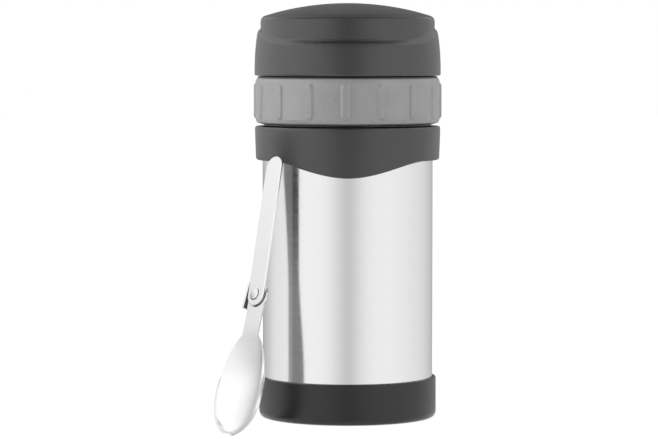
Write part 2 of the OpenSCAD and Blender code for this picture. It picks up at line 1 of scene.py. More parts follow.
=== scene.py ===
"""An insulated food jar: a brushed steel body, a dark plastic boot, collar and lid, a ribbed grip ring,
and a folding spoon that leans on it. It stands on z = 0 round the Z axis, with its front towards -Y.
The pieces' sizes and the depths in their finishes are in millimetres and become metres in the mesh and
in the nodes. The camera, the lamps and the tents of light are in metres, as are the noises' scales."""
import bpy
import bmesh
import math
import numpy as np
from mathutils import Matrix


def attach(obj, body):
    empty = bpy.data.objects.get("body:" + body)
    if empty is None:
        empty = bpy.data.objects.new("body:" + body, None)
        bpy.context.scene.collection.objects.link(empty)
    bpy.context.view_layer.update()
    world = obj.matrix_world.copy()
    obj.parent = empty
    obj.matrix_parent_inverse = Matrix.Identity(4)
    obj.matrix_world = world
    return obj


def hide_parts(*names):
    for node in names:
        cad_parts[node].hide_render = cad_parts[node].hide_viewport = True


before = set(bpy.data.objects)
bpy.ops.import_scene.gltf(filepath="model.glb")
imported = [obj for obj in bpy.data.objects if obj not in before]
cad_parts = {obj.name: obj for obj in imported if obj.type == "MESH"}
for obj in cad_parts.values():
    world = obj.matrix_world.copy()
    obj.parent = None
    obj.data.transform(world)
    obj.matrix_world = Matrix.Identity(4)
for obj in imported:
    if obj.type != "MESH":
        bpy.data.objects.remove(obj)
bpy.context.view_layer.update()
MM = 0.001
ROUND = 256       # steps round the jar
CURVE_STEPS = 5   # steps along a rounded corner

# ------------------------ camera
PICTURE_W = 658       # pixels
FOCAL_LENGTH = 3100   # pixels
LOOKS_DOWN = 3.296    # degrees

camera = bpy.data.objects.new("camera", bpy.data.cameras.new("camera"))
bpy.context.collection.objects.link(camera)
camera.location = (-0.00892, -1.487, 0.1804)
camera.rotation_euler = (math.radians(90 - LOOKS_DOWN), 0, 0)
camera.data.sensor_fit = "HORIZONTAL"
camera.data.sensor_width = 36
camera.data.lens = 36 * FOCAL_LENGTH / PICTURE_W
camera.data.clip_end = 50
bpy.context.scene.camera = camera

# ------------------------ clearances
FIT = 0.1          # between glued or pressed neighbours
BOOT_FIT = 0.15    # between the boot and the steel
COLLAR_FIT = 0.2   # between the collar and the steel
SEAT_GAP = 0.2     # between faces that meet when a thread is tight
RUN_GAP = 0.4      # between a thread's crest and the wall that it faces
SEAL_GAP = 0.25    # between a seal's lip and what it seals
GASKET_FIT = 0.15  # between the plug's gasket and its groove

# ------------------------ heights from the foot up
BOOT_H = 19.5
COLLAR_LOW = BOOT_H + 104.1      # above the steel that shows
COLLAR_TOP = COLLAR_LOW + 16.2
RING_LOW = COLLAR_TOP + 0.9
RING_TOP = RING_LOW + 22.3
LID_LOW = RING_TOP + 0.9
LEDGE = LID_LOW + 22.1
TOP = LEDGE + 12.5

# ------------------------ sizes of the body
BODY_R = 40.8
SHELL_WALL = 0.6
LINER_WALL = 0.5
VACUUM = 3.0                      # between the outer shell and the inner vessel
SHELL_IN_R = BODY_R - SHELL_WALL
LINER_OUT_R = SHELL_IN_R - VACUUM
LINER_R = LINER_OUT_R - LINER_WALL
MOUTH_R = BODY_R - 9.1
LINER_NECK_R = MOUTH_R + LINER_WALL
SHELL_NECK_IN_R = LINER_NECK_R + FIT
SHELL_NECK_R = SHELL_NECK_IN_R + SHELL_WALL
RIM_R = SHELL_NECK_R + 1.9        # rolled rim of the inner vessel
BOOT_R = BODY_R + 1.7
BOOT_IN_R = BODY_R + BOOT_FIT
BOOT_FLOOR = 2.2
FOOT_GROOVE_R, FOOT_GROOVE_W, FOOT_GROOVE_H = 30, 1.6, 0.6
LINER_LOW = BOOT_FLOOR + 4 + SHELL_WALL + 6   # above the bottom plate and the vacuum over it
COLLAR_R = BODY_R + 3.6
COLLAR_IN_R = BODY_R + COLLAR_FIT
COLLAR_ROOF = 2.4
COLLAR_DIP = 7.3                  # how far the lower edge dips at the front and the back
COLLAR_TAPER = 0.6                # how much narrower it is at its foot, per side
COLLAR_EDGE_H = 1.2               # the taper starts this far below its top
COLLAR_LEVEL_FROM = 57            # degrees from the front
NECK_FLANGE_H = 3.3               # flange of the threaded ring, under the collar's roof
SHOULDER_TOP = COLLAR_TOP - COLLAR_ROOF - NECK_FLANGE_H - 2 * FIT
LINER_SHOULDER = SHOULDER_TOP - SHELL_WALL - VACUUM

# ------------------------ sizes of the threads
PITCH = 4
STARTS = 3
LEAD = PITCH * STARTS
THREAD_H, THREAD_W = 1.3, 2.0
THREAD_SPAN = 156                 # degrees that a ridge runs round
THREAD_SWELL = 24                 # degrees over which each of its ends swells
THREAD_FROM = 1.2                 # from a part's edge up to its ridges' first ends
NECK_THREAD = RING_LOW + THREAD_FROM + 1.4
TOP_THREAD = LID_LOW + THREAD_FROM
NECK_BORE_R = SHELL_NECK_R + FIT
NECK_ROOT_R = NECK_BORE_R + 3.1

# ------------------------ sizes of the stopper
SKIRT_IN_R = NECK_ROOT_R + THREAD_H + RUN_GAP
SKIRT_OUT_R = SKIRT_IN_R + 2.3
SKIRT_LOW = COLLAR_TOP + SEAT_GAP
DECK_LOW = RING_TOP - 5.4
DECK_TOP = DECK_LOW + 2.2
FLANGE_R, FLANGE_TOP = SKIRT_OUT_R + 2.9, RING_TOP + 0.6
TOP_ROOT_R = SKIRT_OUT_R - 0.5
TOP_NECK = FLANGE_TOP + 9.8
TRAY_R = TOP_ROOT_R - 2.1
MOUTH_TOP = DECK_LOW - 1.2
PACKING_LOW = MOUTH_TOP - LINER_WALL - 0.8
PLUG_R, PLUG_LOW, PLUG_FLOOR = MOUTH_R - 0.8, DECK_LOW - 16.5, 1.8
GROOVE_R = PLUG_R - 1.8
GROOVE_LOW, GROOVE_H = PLUG_LOW + 3.4, 3.7
PLUG_IN_R = GROOVE_R - 1.6
LIP_DEPTH = 0.65                  # how far the gasket's lips stand out
RING_R = SKIRT_OUT_R + 4.05
RING_IN_R = SKIRT_OUT_R + FIT
RIBS, RIB_W, RIB_H, RIB_PROUD = 16, 4.2, 17.1, 0.85
FIRST_RIB = -1.7                  # degrees from the front

# ------------------------ sizes of the lid
LID_R = RING_R + 0.45
LID_IN_R = TOP_ROOT_R + THREAD_H + RUN_GAP
LID_WALL = 2
LID_DRAW = 1.7                    # how much the skirt draws in at full height
LEDGE_DIP = 6.5                   # how far the ledge dips at the front and the back
CROWN_R = LID_R - 2.9
CROWN_IN_TOP = TOP - 8.9          # where its inner wall meets the roof
DOME_R = 134.0
LIP_IN = 0.35                     # how far the lip stands in at the front
LIP_FALL = 0.6                    # how far the dome's edge rolls down to it there
ROLL_FROM = 37                    # radius from which it rolls down
LIP_EDGE_H = 0.12                 # height of the lip's upright edge at the front
SIDE_ROUND_H = 5.18               # what the wide round at the sides adds to it
BAND_IN = 0.75                    # how far the band under the lip is set back at the front
LEDGE_RISE = 1.6                  # how far the ledge's inner corner is filled at most
LEDGE_RISE_SIDE = 0.35            # and at the sides
LEDGE_FALL = 0.85                 # how far the ledge's outer corner is lowered at most
SEAL_LOW, SEAL_H = TOP_NECK + SEAL_GAP, 1.4
SEAL_R = LID_IN_R - 0.3
BOWL_RIM = SEAL_LOW + SEAL_H + FIT
LID_STEP = BOWL_RIM + 1.2         # above the flange of the lid's bowl
BOWL_IN_R, BOWL_WALL = TRAY_R - 0.4, 1.5
BOWL_ROOF = TOP - 10.2


def smooth(t):
    """A step from 0 to 1 with level ends: 3 t squared minus 2 t cubed."""
    t = np.clip(t, 0, 1)
    return t * t * (3 - 2 * t)


def around(n=ROUND):
    """n angles round the jar, from the front, anticlockwise seen from above."""
    return np.arange(n) * 2 * np.pi / n


def from_front(a):
    """How far an angle is from the front or the back, whichever is nearer, in degrees from 0 to 90."""
    d = np.degrees(a) % 180
    return np.minimum(d, 180 - d)


# ------------------------ surfaces
def rounded(corners, n):
    """An outline through corners, for n stations at once. Each corner is (r, z) or (r, z, size), and
    each of these may be one number or n numbers. A corner with a size is swapped for a quadratic
    curve that leaves one side and meets the other at that distance from the corner."""
    full = [np.broadcast_to(np.asarray(v, float), (n,)) for c in corners for v in (list(c) + [0])[:3]]
    c = np.stack(full, -1).reshape(n, len(corners), 3)
    p, size = c[..., :2], c[..., 2]
    step = np.diff(p, axis=1)
    length = np.maximum(np.linalg.norm(step, axis=-1), 1e-9)
    way = step / length[..., None]
    t = np.linspace(0, 1, CURVE_STEPS + 1)[None, :, None]
    out = [p[:, :1]]
    for k in range(1, len(corners) - 1):
        if len(corners[k]) < 3:
            out.append(p[:, k:k + 1])
            continue
        s = np.minimum(size[:, k], 0.48 * np.minimum(length[:, k - 1], length[:, k]))[:, None]
        a, b, mid = p[:, k] - s * way[:, k - 1], p[:, k] + s * way[:, k], p[:, k]
        out.append((1 - t) ** 2 * a[:, None] + 2 * t * (1 - t) * mid[:, None] + t ** 2 * b[:, None])
    out.append(p[:, -1:])
    return np.concatenate(out, 1)


def spun(outline, angles):
    """Outline points (r, z) carried round the jar's axis, the first angle at the front."""
    r, z = outline[..., 0], outline[..., 1]
    return np.stack([r * np.sin(angles)[:, None], -r * np.cos(angles)[:, None], z], -1)


def sheet(points, close_u=True, close_v=False):
    """Faces over a grid of points, with a seam-free wrap in u and in v where asked, and a UV that
    runs along both ways of the grid in metres."""
    nu, nv = points.shape[:2]
    index = np.arange(nu * nv).reshape(nu, nv)
    if close_u:
        index = np.concatenate([index, index[:1]], 0)
    if close_v:
        index = np.concatenate([index, index[:, :1]], 1)
    faces = np.stack([index[:-1, :-1], index[1:, :-1], index[1:, 1:], index[:-1, 1:]], -1).reshape(-1, 4)
    full = points.reshape(-1, 3)[index]
    du = np.linalg.norm(np.diff(full, axis=0), axis=-1).max(1)
    dv = np.linalg.norm(np.diff(full, axis=1), axis=-1).max(0)
    u = np.concatenate([[0], np.cumsum(du)])[:, None] + 0 * full[..., 0]
    v = np.concatenate([[0], np.cumsum(dv)])[None, :] + 0 * full[..., 0]
    uv = np.stack([u, v], -1) * MM
    corner = np.stack([uv[:-1, :-1], uv[1:, :-1], uv[1:, 1:], uv[:-1, 1:]], 2).reshape(-1, 4, 2)
    return points.reshape(-1, 3), faces, corner


def put(name, mesh, finish):
    """An object of the mesh, in the scene and in its finish."""
    mesh.materials.append(finish.material)
    made = bpy.data.objects.new(name, mesh)
    bpy.context.collection.objects.link(made)
    return made


def piece(name, sheets, body, finish, nodes):
    """One object from several sheets: doubles at poles and seams are merged, faces are turned
    outwards, and each vertex normal is the sum of its faces' normals weighed by their areas."""
    start, points, faces, corner = 0, [], [], []
    for p, f, c in sheets:
        points.append(p)
        faces.append(f + start)
        corner.append(c)
        start += len(p)
    points, faces, corner = np.concatenate(points) * MM, np.concatenate(faces), np.concatenate(corner)
    mesh = bpy.data.meshes.new(name)
    mesh.from_pydata(points.tolist(), [], faces.tolist())
    layer = mesh.uv_layers.new(name="UVMap")
    layer.data.foreach_set("uv", corner.reshape(-1))
    merged = bmesh.new()
    merged.from_mesh(mesh)
    bmesh.ops.remove_doubles(merged, verts=merged.verts, dist=2e-7)
    bmesh.ops.dissolve_degenerate(merged, dist=1e-8, edges=merged.edges)
    bmesh.ops.recalc_face_normals(merged, faces=merged.faces)
    merged.to_mesh(mesh)
    merged.free()
    mesh.shade_smooth()
    n = len(mesh.polygons)
    vertex, sides = np.empty(len(mesh.loops), np.int32), np.empty(n, np.int32)
    normal, area = np.empty(n * 3), np.empty(n)
    mesh.loops.foreach_get("vertex_index", vertex)
    for key, values in (("loop_total", sides), ("normal", normal), ("area", area)):
        mesh.polygons.foreach_get(key, values)
    total = np.zeros((len(mesh.vertices), 3))
    np.add.at(total, vertex, np.repeat(normal.reshape(-1, 3) * area[:, None], sides, 0))
    total /= np.maximum(np.linalg.norm(total, axis=1, keepdims=True), 1e-20)
    mesh.normals_split_custom_set_from_vertices(total.tolist())
    made = put(name, mesh, finish)
    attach(made, body)
    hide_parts(*nodes)
    return made


def turned(corners, close=True):
    """A rounded outline spun round the jar's axis. Closed outlines end where they start."""
    if close:
        corners = list(corners) + [corners[0][:2]]
    return sheet(spun(rounded(corners, ROUND), around()))


def ridges(wall_r, side, z):
    """Thread ridges on a wall, standing outwards (side 1) or inwards (side -1). Each follows a helix
    for THREAD_SPAN degrees. Its section is half a superellipse, sunk a little into the wall, that
    swells from nothing to full height over the first and last THREAD_SWELL degrees."""
    sunk = 0.4
    t = np.linspace(0, 1, 80)[:, None]
    swell = smooth(np.minimum(t, 1 - t) * THREAD_SPAN / THREAD_SWELL)
    s = np.linspace(0, np.pi, 11)[None, :]
    lump = np.sin(s) ** 0.6
    across = -np.cos(s) * (THREAD_W / 2 + 0.05)
    r = wall_r + side * (THREAD_H * lump * swell - sunk * (1 - lump))
    out = []
    for k in range(STARTS):
        a = np.radians(k * 360 / STARTS + THREAD_SPAN * t) + 0 * r
        height = z + LEAD * THREAD_SPAN * t / 360 + across * (0.4 + 0.6 * swell)
        out.append(sheet(np.stack([r * np.cos(a), r * np.sin(a), height], -1), close_u=False, close_v=True))
    return out


# ------------------------ finishes
class Nodes:
    """Adds nodes to one tree. What returns a value returns its last node's output, and what takes a
    value takes a number or another node's output."""

    def __init__(self, tree):
        self.tree = tree

    def add(self, kind, **values):
        """A node of this kind with these settings."""
        node = self.tree.nodes.new(kind)
        for key, value in values.items():
            setattr(node, key, value)
        return node

    def link(self, output, node, key):
        """An output led to the node's input of this name or number."""
        self.tree.links.new(output, node.inputs[key])

    def feed(self, value, node, key):
        """A number set on the node's input, or an output led to it."""
        if isinstance(value, (int, float)):
            node.inputs[key].default_value = value
        else:
            self.link(value, node, key)

    def math(self, operation, a, b=0.0):
        """One operation on one or two values."""
        node = self.add("ShaderNodeMath", operation=operation)
        self.feed(a, node, 0)
        self.feed(b, node, 1)
        return node.outputs["Value"]

    def chain(self, operation, values):
        """Values joined one after another by one operation."""
        out = values[0]
        for value in values[1:]:
            out = self.math(operation, out, value)
        return out

    def plus(self, *values):
        return self.chain("ADD", values)

    def times(self, *values):
        return self.chain("MULTIPLY", values)

    def most(self, *values):
        return self.chain("MAXIMUM", values)

    def minus(self, a, b):
        return self.math("SUBTRACT", a, b)

    def dimmed(self, light, share, by):
        """Light times 1 minus share times by."""
        return self.times(light, self.minus(1.0, self.times(share, by)))

    def distance(self, a, b):
        """The square root of a squared plus b squared."""
        return self.math("POWER", self.plus(self.times(a, a), self.times(b, b)), 0.5)

    def span(self, value, low, high, start=0.0, end=1.0, curve="SMOOTHSTEP"):
        """A value moved from the range low to high into start to end, and held there beyond it."""
        node = self.add("ShaderNodeMapRange", interpolation_type=curve)
        for key, number in zip(("From Min", "From Max", "To Min", "To Max"), (low, high, start, end)):
            node.inputs[key].default_value = number
        self.link(value, node, "Value")
        return node.outputs["Result"]

    def axes(self, vector):
        """A vector's three parts."""
        node = self.add("ShaderNodeSeparateXYZ")
        self.link(vector, node, "Vector")
        return node.outputs

    def either(self, share, a, b):
        """Shader a where share is 0, shader b where it is 1."""
        node = self.add("ShaderNodeMixShader")
        for key, output in enumerate((share, a, b)):
            self.link(output, node, key)
        return node.outputs["Shader"]

    def seen(self):
        """1 for rays from the camera and for those that gloss or glass sends on, otherwise 0."""
        rays = self.add("ShaderNodeLightPath").outputs
        return self.most(*(rays[f"Is {kind} Ray"] for kind in ("Camera", "Glossy", "Transmission")))


class Finish(Nodes):
    """A material of its own node tree, round the shader that it starts with."""

    def __init__(self, name):
        self.material = bpy.data.materials.new(name)
        self.material.use_nodes = True
        super().__init__(self.material.node_tree)
        self.shader = self.tree.nodes["Principled BSDF"]
        self.place = self.add("ShaderNodeTexCoord").outputs["Object"]

    def noise(self, scale, detail=3.0, stretch=(1, 1, 1), rough=0.55):
        """Soft noise. Its marks are long the ways in which stretch is small."""
        mapping = self.add("ShaderNodeMapping")
        mapping.inputs["Scale"].default_value = stretch
        self.link(self.place, mapping, "Vector")
        node = self.add("ShaderNodeTexNoise")
        for key, number in (("Scale", scale), ("Detail", detail), ("Roughness", rough)):
            node.inputs[key].default_value = number
        self.link(mapping.outputs["Vector"], node, "Vector")
        return node.outputs["Fac"]

    def cells(self, scale, feature="F1"):
        """Distance to the cells' middles, or to their edges."""
        node = self.add("ShaderNodeTexVoronoi", feature=feature)
        node.inputs["Scale"].default_value = scale
        self.link(self.place, node, "Vector")
        return node.outputs["Distance"]

    def blend(self, share, a, b):
        """Colour a where share is 0, colour b where it is 1. A colour may be another node's output."""
        node = self.add("ShaderNodeMix", data_type="RGBA")
        self.link(share, node, "Factor")
        for socket, value in (("A", a), ("B", b)):
            target = [i for i in node.inputs if i.name == socket and i.type == "RGBA"][0]
            if isinstance(value, (tuple, list)):
                target.default_value = (*value, 1)
            else:
                self.tree.links.new(value, target)
        return [o for o in node.outputs if o.type == "RGBA"][0]

    def colour(self, output):
        self.link(output, self.shader, "Base Color")

    def rough(self, value):
        self.feed(value, self.shader, "Roughness")

    def bump(self, *layers):
        """Bumps laid over each other. Each layer is a height and the millimetres that it spans."""
        last = None
        for height, depth in layers:
            node = self.add("ShaderNodeBump")
            node.inputs["Strength"].default_value = 1
            node.inputs["Distance"].default_value = depth * MM
            self.link(height, node, "Height")
            if last:
                self.link(last, node, "Normal")
            last = node.outputs["Normal"]
        self.link(last, self.shader, "Normal")

    def set(self, **values):
        """Numbers of the shader that are the same all over, with _ for a space in their names."""
        for key, value in values.items():
            self.shader.inputs[key.replace("_", " ")].default_value = value

    def surface(self, output):
        self.link(output, self.tree.nodes["Material Output"], "Surface")


def shade(colour, factor, lift=0.0):
    """A colour that is factor times as bright, and lifted by a little white."""
    return [min(1, c * factor + lift) for c in colour]


def brushed_steel(name, base, rough, stretch, anisotropy=0.0):
    """Steel with fine grooves that run the ways in which stretch is small, and faint hand marks."""
    f = Finish(name)
    fine = f.noise(60, 4, stretch, 0.7)
    broad = f.noise(9, 2, stretch)
    marks = f.noise(38, 3)
    f.colour(f.blend(f.span(fine, 0.3, 0.7), shade(base, 0.98), base))
    f.rough(f.plus(f.span(fine, 0.3, 0.7, rough - 0.02, rough + 0.03),
                   f.plus(f.span(marks, 0.45, 0.75, 0, 0.035), f.span(broad, 0.3, 0.7, 0, 0.02))))
    f.bump((fine, 0.0013))
    f.set(Metallic=1.0, Anisotropic=anisotropy)
    return f


def moulded(name, base, rough=0.3, grain=0.012, ior=1.5, scuffs=()):
    """Moulded plastic: a fine spark-eroded grain, slow changes of tone, and scuffs where hands and
    tables rub it. Each scuff is the height where it is strongest and how far it reaches."""
    f = Finish(name)
    fine = f.noise(2600, 2)
    slow = f.noise(55, 3)
    tone = f.blend(f.span(slow, 0.35, 0.7), shade(base, 0.96), shade(base, 1.05))
    roughness = f.plus(f.span(slow, 0.3, 0.7, rough - 0.03, rough + 0.03),
                       f.span(fine, 0.3, 0.7, -0.02, 0.02))
    if scuffs:
        height = f.axes(f.place)["Z"]
        rubbed = f.most(*(f.span(f.math("ABSOLUTE", f.minus(height, at * MM)), reach * MM, 0.0)
                          for at, reach in scuffs))
        marks = f.times(rubbed, f.span(f.noise(420, 5, (1, 1, 2.4), 0.7), 0.58, 0.74))
        tone = f.blend(f.times(marks, 0.3), tone, shade(base, 1.3, 0.012))
        roughness = f.plus(roughness, f.times(marks, 0.12))
    f.colour(tone)
    f.rough(roughness)
    f.bump((fine, grain), (slow, grain * 3))
    f.set(IOR=ior)
    return f


def foam_finish():
    """Closed-cell foam: small round cells with thin walls, and slow yellowing."""
    f = Finish("foam_cells")
    cell = f.cells(900)
    f.colour(f.blend(f.span(cell, 0.0, 0.6), (0.62, 0.58, 0.42), (0.80, 0.77, 0.62)))
    f.rough(0.9)
    f.bump((cell, 0.2), (f.noise(120), 0.3))
    return f


def foil_finish():
    """Thin metal foil with soft creases."""
    f = Finish("foil_metal")
    crease = f.cells(160, "DISTANCE_TO_EDGE")
    f.colour(f.blend(f.noise(40), (0.78, 0.42, 0.24), (0.90, 0.55, 0.36)))
    f.rough(f.span(crease, 0, 0.3, 0.3, 0.14))
    f.bump((crease, 0.2))
    f.set(Metallic=1.0)
    return f


def pressed_metal(name, base, rough):
    """Matt metal pressed from powder: a fine sandy bump with darker pores."""
    f = Finish(name)
    pores = f.noise(1400, 4)
    f.colour(f.blend(f.span(pores, 0.35, 0.6), shade(base, 0.55), base))
    f.rough(rough)
    f.bump((pores, 0.06))
    f.set(Metallic=0.9)
    return f


SOFT_TOUCH = 1.72  # refractive index of the soft lacquer on the lid, the collar and the grip ring

body_steel = brushed_steel("body_steel", (0.80, 0.80, 0.805), 0.07, (0.35, 0.35, 34), 0.8)
radial = body_steel.add("ShaderNodeTangent", direction_type="RADIAL", axis="Z")
body_steel.link(radial.outputs["Tangent"], body_steel.shader, "Tangent")
inner_steel = brushed_steel("inner_steel", (0.72, 0.72, 0.73), 0.3, (0.5, 0.5, 20), 0.5)
lid_plastic = moulded("lid_plastic", (0.016, 0.016, 0.0165), ior=SOFT_TOUCH,
                      scuffs=[(LID_LOW + 0.6, 1.2), (TOP - 2, 3)])
collar_plastic = moulded("collar_plastic", (0.0114, 0.0114, 0.0118), ior=SOFT_TOUCH,
                         scuffs=[(COLLAR_TOP - 0.5, 1.2)])
boot_plastic = moulded("boot_plastic", (0.0062, 0.0062, 0.0065), grain=0.02,
                       scuffs=[(1, 4.5), (BOOT_H - 0.5, 1.2)])
ring_plastic = moulded("ring_plastic", (0.205, 0.206, 0.209), grain=0.008, ior=SOFT_TOUCH,
                       scuffs=[(RING_LOW + 0.8, 1.2), (RING_TOP - 0.8, 1.2)])
core_plastic = moulded("core_plastic", (0.012, 0.012, 0.013), grain=0.006)
bowl_plastic = moulded("bowl_plastic", (0.30, 0.30, 0.305), rough=0.24, grain=0.004)
silicone = moulded("silicone", (0.66, 0.655, 0.63), rough=0.5, grain=0.008)
silicone.set(Sheen_Weight=0.15)

# Pieces that nothing shows from outside keep their solids and get a finish
for node, finish in {
    "bottom_plate": inner_steel, "radiation_foil": foil_finish(),
    "getter": pressed_metal("getter_metal", (0.33, 0.33, 0.34), 0.7),
    "evacuation_seal": pressed_metal("seal_metal", (0.42, 0.44, 0.46), 0.45),
    "neck_packing": silicone, "stopper_foam": foam_finish(), "lid_foam": foam_finish(),
}.items():
    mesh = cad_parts[node].data
    mesh.materials.clear()
    mesh.materials.append(finish.material)

# ------------------------ the jar's body
# In the outlines a third number is the corner's rounding. A point without one is an end, a sharp
# corner, or a ring that keeps the faces of a long wall short
wall_rings = [(BODY_R, z) for z in np.linspace(12, SHOULDER_TOP - 10, 15)]
piece("steel_body", [turned(
    [(SHELL_IN_R, BOOT_FLOOR), (BODY_R, BOOT_FLOOR, 0.2)] + wall_rings
    + [(BODY_R, SHOULDER_TOP, 7.8), (SHELL_NECK_R, SHOULDER_TOP, 0.9), (SHELL_NECK_R, PACKING_LOW, 0.2),
       (SHELL_NECK_IN_R, PACKING_LOW, 0.2), (SHELL_NECK_IN_R, SHOULDER_TOP - SHELL_WALL, 0.6),
       (SHELL_IN_R, SHOULDER_TOP - SHELL_WALL, 7.2)])],
    "jar", body_steel, ["outer_shell"])

floor_in, shoulder_in = LINER_LOW + LINER_WALL, LINER_SHOULDER - LINER_WALL
piece("inner_vessel_steel", [turned(
    [(0, LINER_LOW), (27, LINER_LOW), (LINER_OUT_R, LINER_LOW, 9), (LINER_OUT_R, LINER_SHOULDER, 5),
     (LINER_NECK_R, LINER_SHOULDER, 1.0), (LINER_NECK_R, MOUTH_TOP - LINER_WALL, 0.25),
     (RIM_R, MOUTH_TOP - LINER_WALL, 0.2), (RIM_R, MOUTH_TOP, 0.25), (MOUTH_R, MOUTH_TOP, 0.5),
     (MOUTH_R, shoulder_in, 1.2), (LINER_R, shoulder_in, 4.6), (LINER_R, 100), (LINER_R, 70),
     (LINER_R, 40), (LINER_R, floor_in, 8.5), (27, floor_in), (0, floor_in)], close=False)],
    "jar", inner_steel, ["inner_vessel"])

groove_out = FOOT_GROOVE_R + FOOT_GROOVE_W
piece("foot_boot", [turned(
    [(0, 0), (29.5, 0), (FOOT_GROOVE_R, 0, 0.25), (FOOT_GROOVE_R, FOOT_GROOVE_H, 0.2),
     (groove_out, FOOT_GROOVE_H, 0.2), (groove_out, 0, 0.25), (36, 0), (BOOT_R, 0, 5.2), (BOOT_R, 8),
     (BOOT_R, 13), (BOOT_R, BOOT_H - 2.5), (BOOT_R, BOOT_H, 1.3), (BOOT_IN_R, BOOT_H, 0.35),
     (BOOT_IN_R, BOOT_FLOOR, 0.3), (0, BOOT_FLOOR)], close=False)],
    "jar", boot_plastic, ["base_boot"])

angle = around()
level = smooth(from_front(angle) / COLLAR_LEVEL_FROM)
collar_low = COLLAR_LOW - COLLAR_DIP * (1 - level)
taper_from = COLLAR_TOP - COLLAR_EDGE_H
collar_foot_r = COLLAR_R - COLLAR_TAPER * (taper_from - collar_low) / (taper_from - COLLAR_LOW + COLLAR_DIP)
piece("neck_collar", [turned(
    [(COLLAR_IN_R, collar_low + 0.6), (COLLAR_IN_R, collar_low, 0.3),
     (collar_foot_r, collar_low, 0.35 + 1.5 * level), (collar_foot_r + 0.05, collar_low + 3.2),
     (COLLAR_R - 0.1, COLLAR_TOP - 6.3), (COLLAR_R, COLLAR_TOP - 2.4), (COLLAR_R, COLLAR_TOP, 1.3),
     (38.5, COLLAR_TOP), (NECK_ROOT_R + FIT, COLLAR_TOP, 0.3),
     (NECK_ROOT_R + FIT, COLLAR_TOP - COLLAR_ROOF, 0.3), (COLLAR_IN_R, COLLAR_TOP - COLLAR_ROOF, 0.3)])],
    "jar", collar_plastic, ["collar"])

flange_low, flange_r = SHOULDER_TOP + FIT, BODY_R - 1
piece("neck_thread_ring", [turned(
    [(NECK_BORE_R, flange_low, 0.3), (flange_r, flange_low, 0.3),
     (flange_r, flange_low + NECK_FLANGE_H, 0.3), (NECK_ROOT_R, flange_low + NECK_FLANGE_H, 0.3),
     (NECK_ROOT_R, PACKING_LOW, 0.4), (NECK_BORE_R, PACKING_LOW, 0.2)])]
    + ridges(NECK_ROOT_R, 1, NECK_THREAD),
    "jar", core_plastic, ["neck_ring"])

# ------------------------ the stopper
piece("stopper_moulding", [turned(
    [(0, DECK_LOW), (30, DECK_LOW), (SKIRT_IN_R, DECK_LOW, 0.5), (SKIRT_IN_R, SKIRT_LOW, 0.3),
     (SKIRT_OUT_R, SKIRT_LOW, 0.3), (SKIRT_OUT_R, RING_TOP, 0.2), (FLANGE_R, RING_TOP, 0.15),
     (FLANGE_R, FLANGE_TOP, 0.25), (TOP_ROOT_R, FLANGE_TOP, 0.4), (TOP_ROOT_R, TOP_NECK, 0.6),
     (TRAY_R, TOP_NECK, 0.5), (TRAY_R, DECK_TOP, 1.6), (30, DECK_TOP), (0, DECK_TOP)], close=False)]
    + ridges(SKIRT_IN_R, -1, NECK_THREAD + PITCH / 2) + ridges(TOP_ROOT_R, 1, TOP_THREAD),
    "stopper", core_plastic, ["stopper_core"])

piece("plug_cup", [turned(
    [(0, PLUG_LOW), (24, PLUG_LOW), (PLUG_R, PLUG_LOW, 2.2), (PLUG_R, GROOVE_LOW, 0.25),
     (GROOVE_R, GROOVE_LOW, 0.2), (GROOVE_R, GROOVE_LOW + GROOVE_H, 0.2),
     (PLUG_R, GROOVE_LOW + GROOVE_H, 0.25), (PLUG_R, DECK_LOW, 0.3), (PLUG_IN_R, DECK_LOW, 0.2),
     (PLUG_IN_R, PLUG_LOW + PLUG_FLOOR, 0.8), (0, PLUG_LOW + PLUG_FLOOR)], close=False)],
    "stopper", core_plastic, ["stopper_plug"])

# Two lips at a quarter and three quarters of the gasket's height
lip_r, gasket_r, gasket_low = MOUTH_R - SEAL_GAP, GROOVE_R + GASKET_FIT, GROOVE_LOW + GASKET_FIT
quarter = (GROOVE_H - 2 * GASKET_FIT) / 4
lips = [(lip_r - LIP_DEPTH * (k % 2 == 0), gasket_low + quarter * k, 0.15 if k in (0, 4) else 0.3)
        for k in range(5)]
piece("two_lip_gasket", [turned(
    [(gasket_r, gasket_low, 0.15), *lips, (gasket_r, gasket_low + 4 * quarter, 0.15)])],
    "stopper_seal", silicone, ["stopper_gasket"])


def ribbed_ring():
    """Grip ring: a turned outline whose outer wall swells into upright ribs. With d the distance
    along the wall from a rib's spine, its height is a smooth step down over edge_w millimetres, to
    nothing at a little past half of the rib's width."""
    n, edge_w, past = 1024, 1.15, 0.2
    a = around(n)
    wall = [(RING_R, z) for z in np.linspace(RING_LOW + 2.9, RING_TOP - 2.4, 41)]
    outline = rounded(
        [(RING_IN_R, RING_LOW + 0.6, 0.2), (RING_IN_R, RING_LOW, 0.3), (RING_R - 3.4, RING_LOW, 0.6),
         (RING_R - 0.55, RING_LOW + 0.75, 0.9), (RING_R, RING_LOW + 2.7, 0.5)] + wall
        + [(RING_R, RING_TOP - 2.1, 0.5), (RING_R - 0.75, RING_TOP, 0.9), (RING_IN_R, RING_TOP, 0.3),
           (RING_IN_R, RING_LOW + 0.6)], n)
    r, z = outline[..., 0], outline[..., 1]
    spacing = 2 * np.pi / RIBS
    off = (a - math.radians(FIRST_RIB) + spacing / 2) % spacing - spacing / 2
    beside = off[:, None] * RING_R
    beyond = np.maximum(np.abs(z - (RING_LOW + RING_TOP) / 2) - (RIB_H - RIB_W) / 2, 0)
    d = np.sqrt(beside ** 2 + beyond ** 2)
    lump = smooth((RIB_W / 2 + past - d) / edge_w) * (1 - 0.02 * d ** 2)
    on_wall = r > RING_R - 0.9
    swollen = np.stack([r + np.where(on_wall, RIB_PROUD * lump, 0), z], -1)
    return sheet(spun(swollen, a))


piece("rib_grip_ring", [ribbed_ring()], "stopper", ring_plastic, ["grip_ring"])

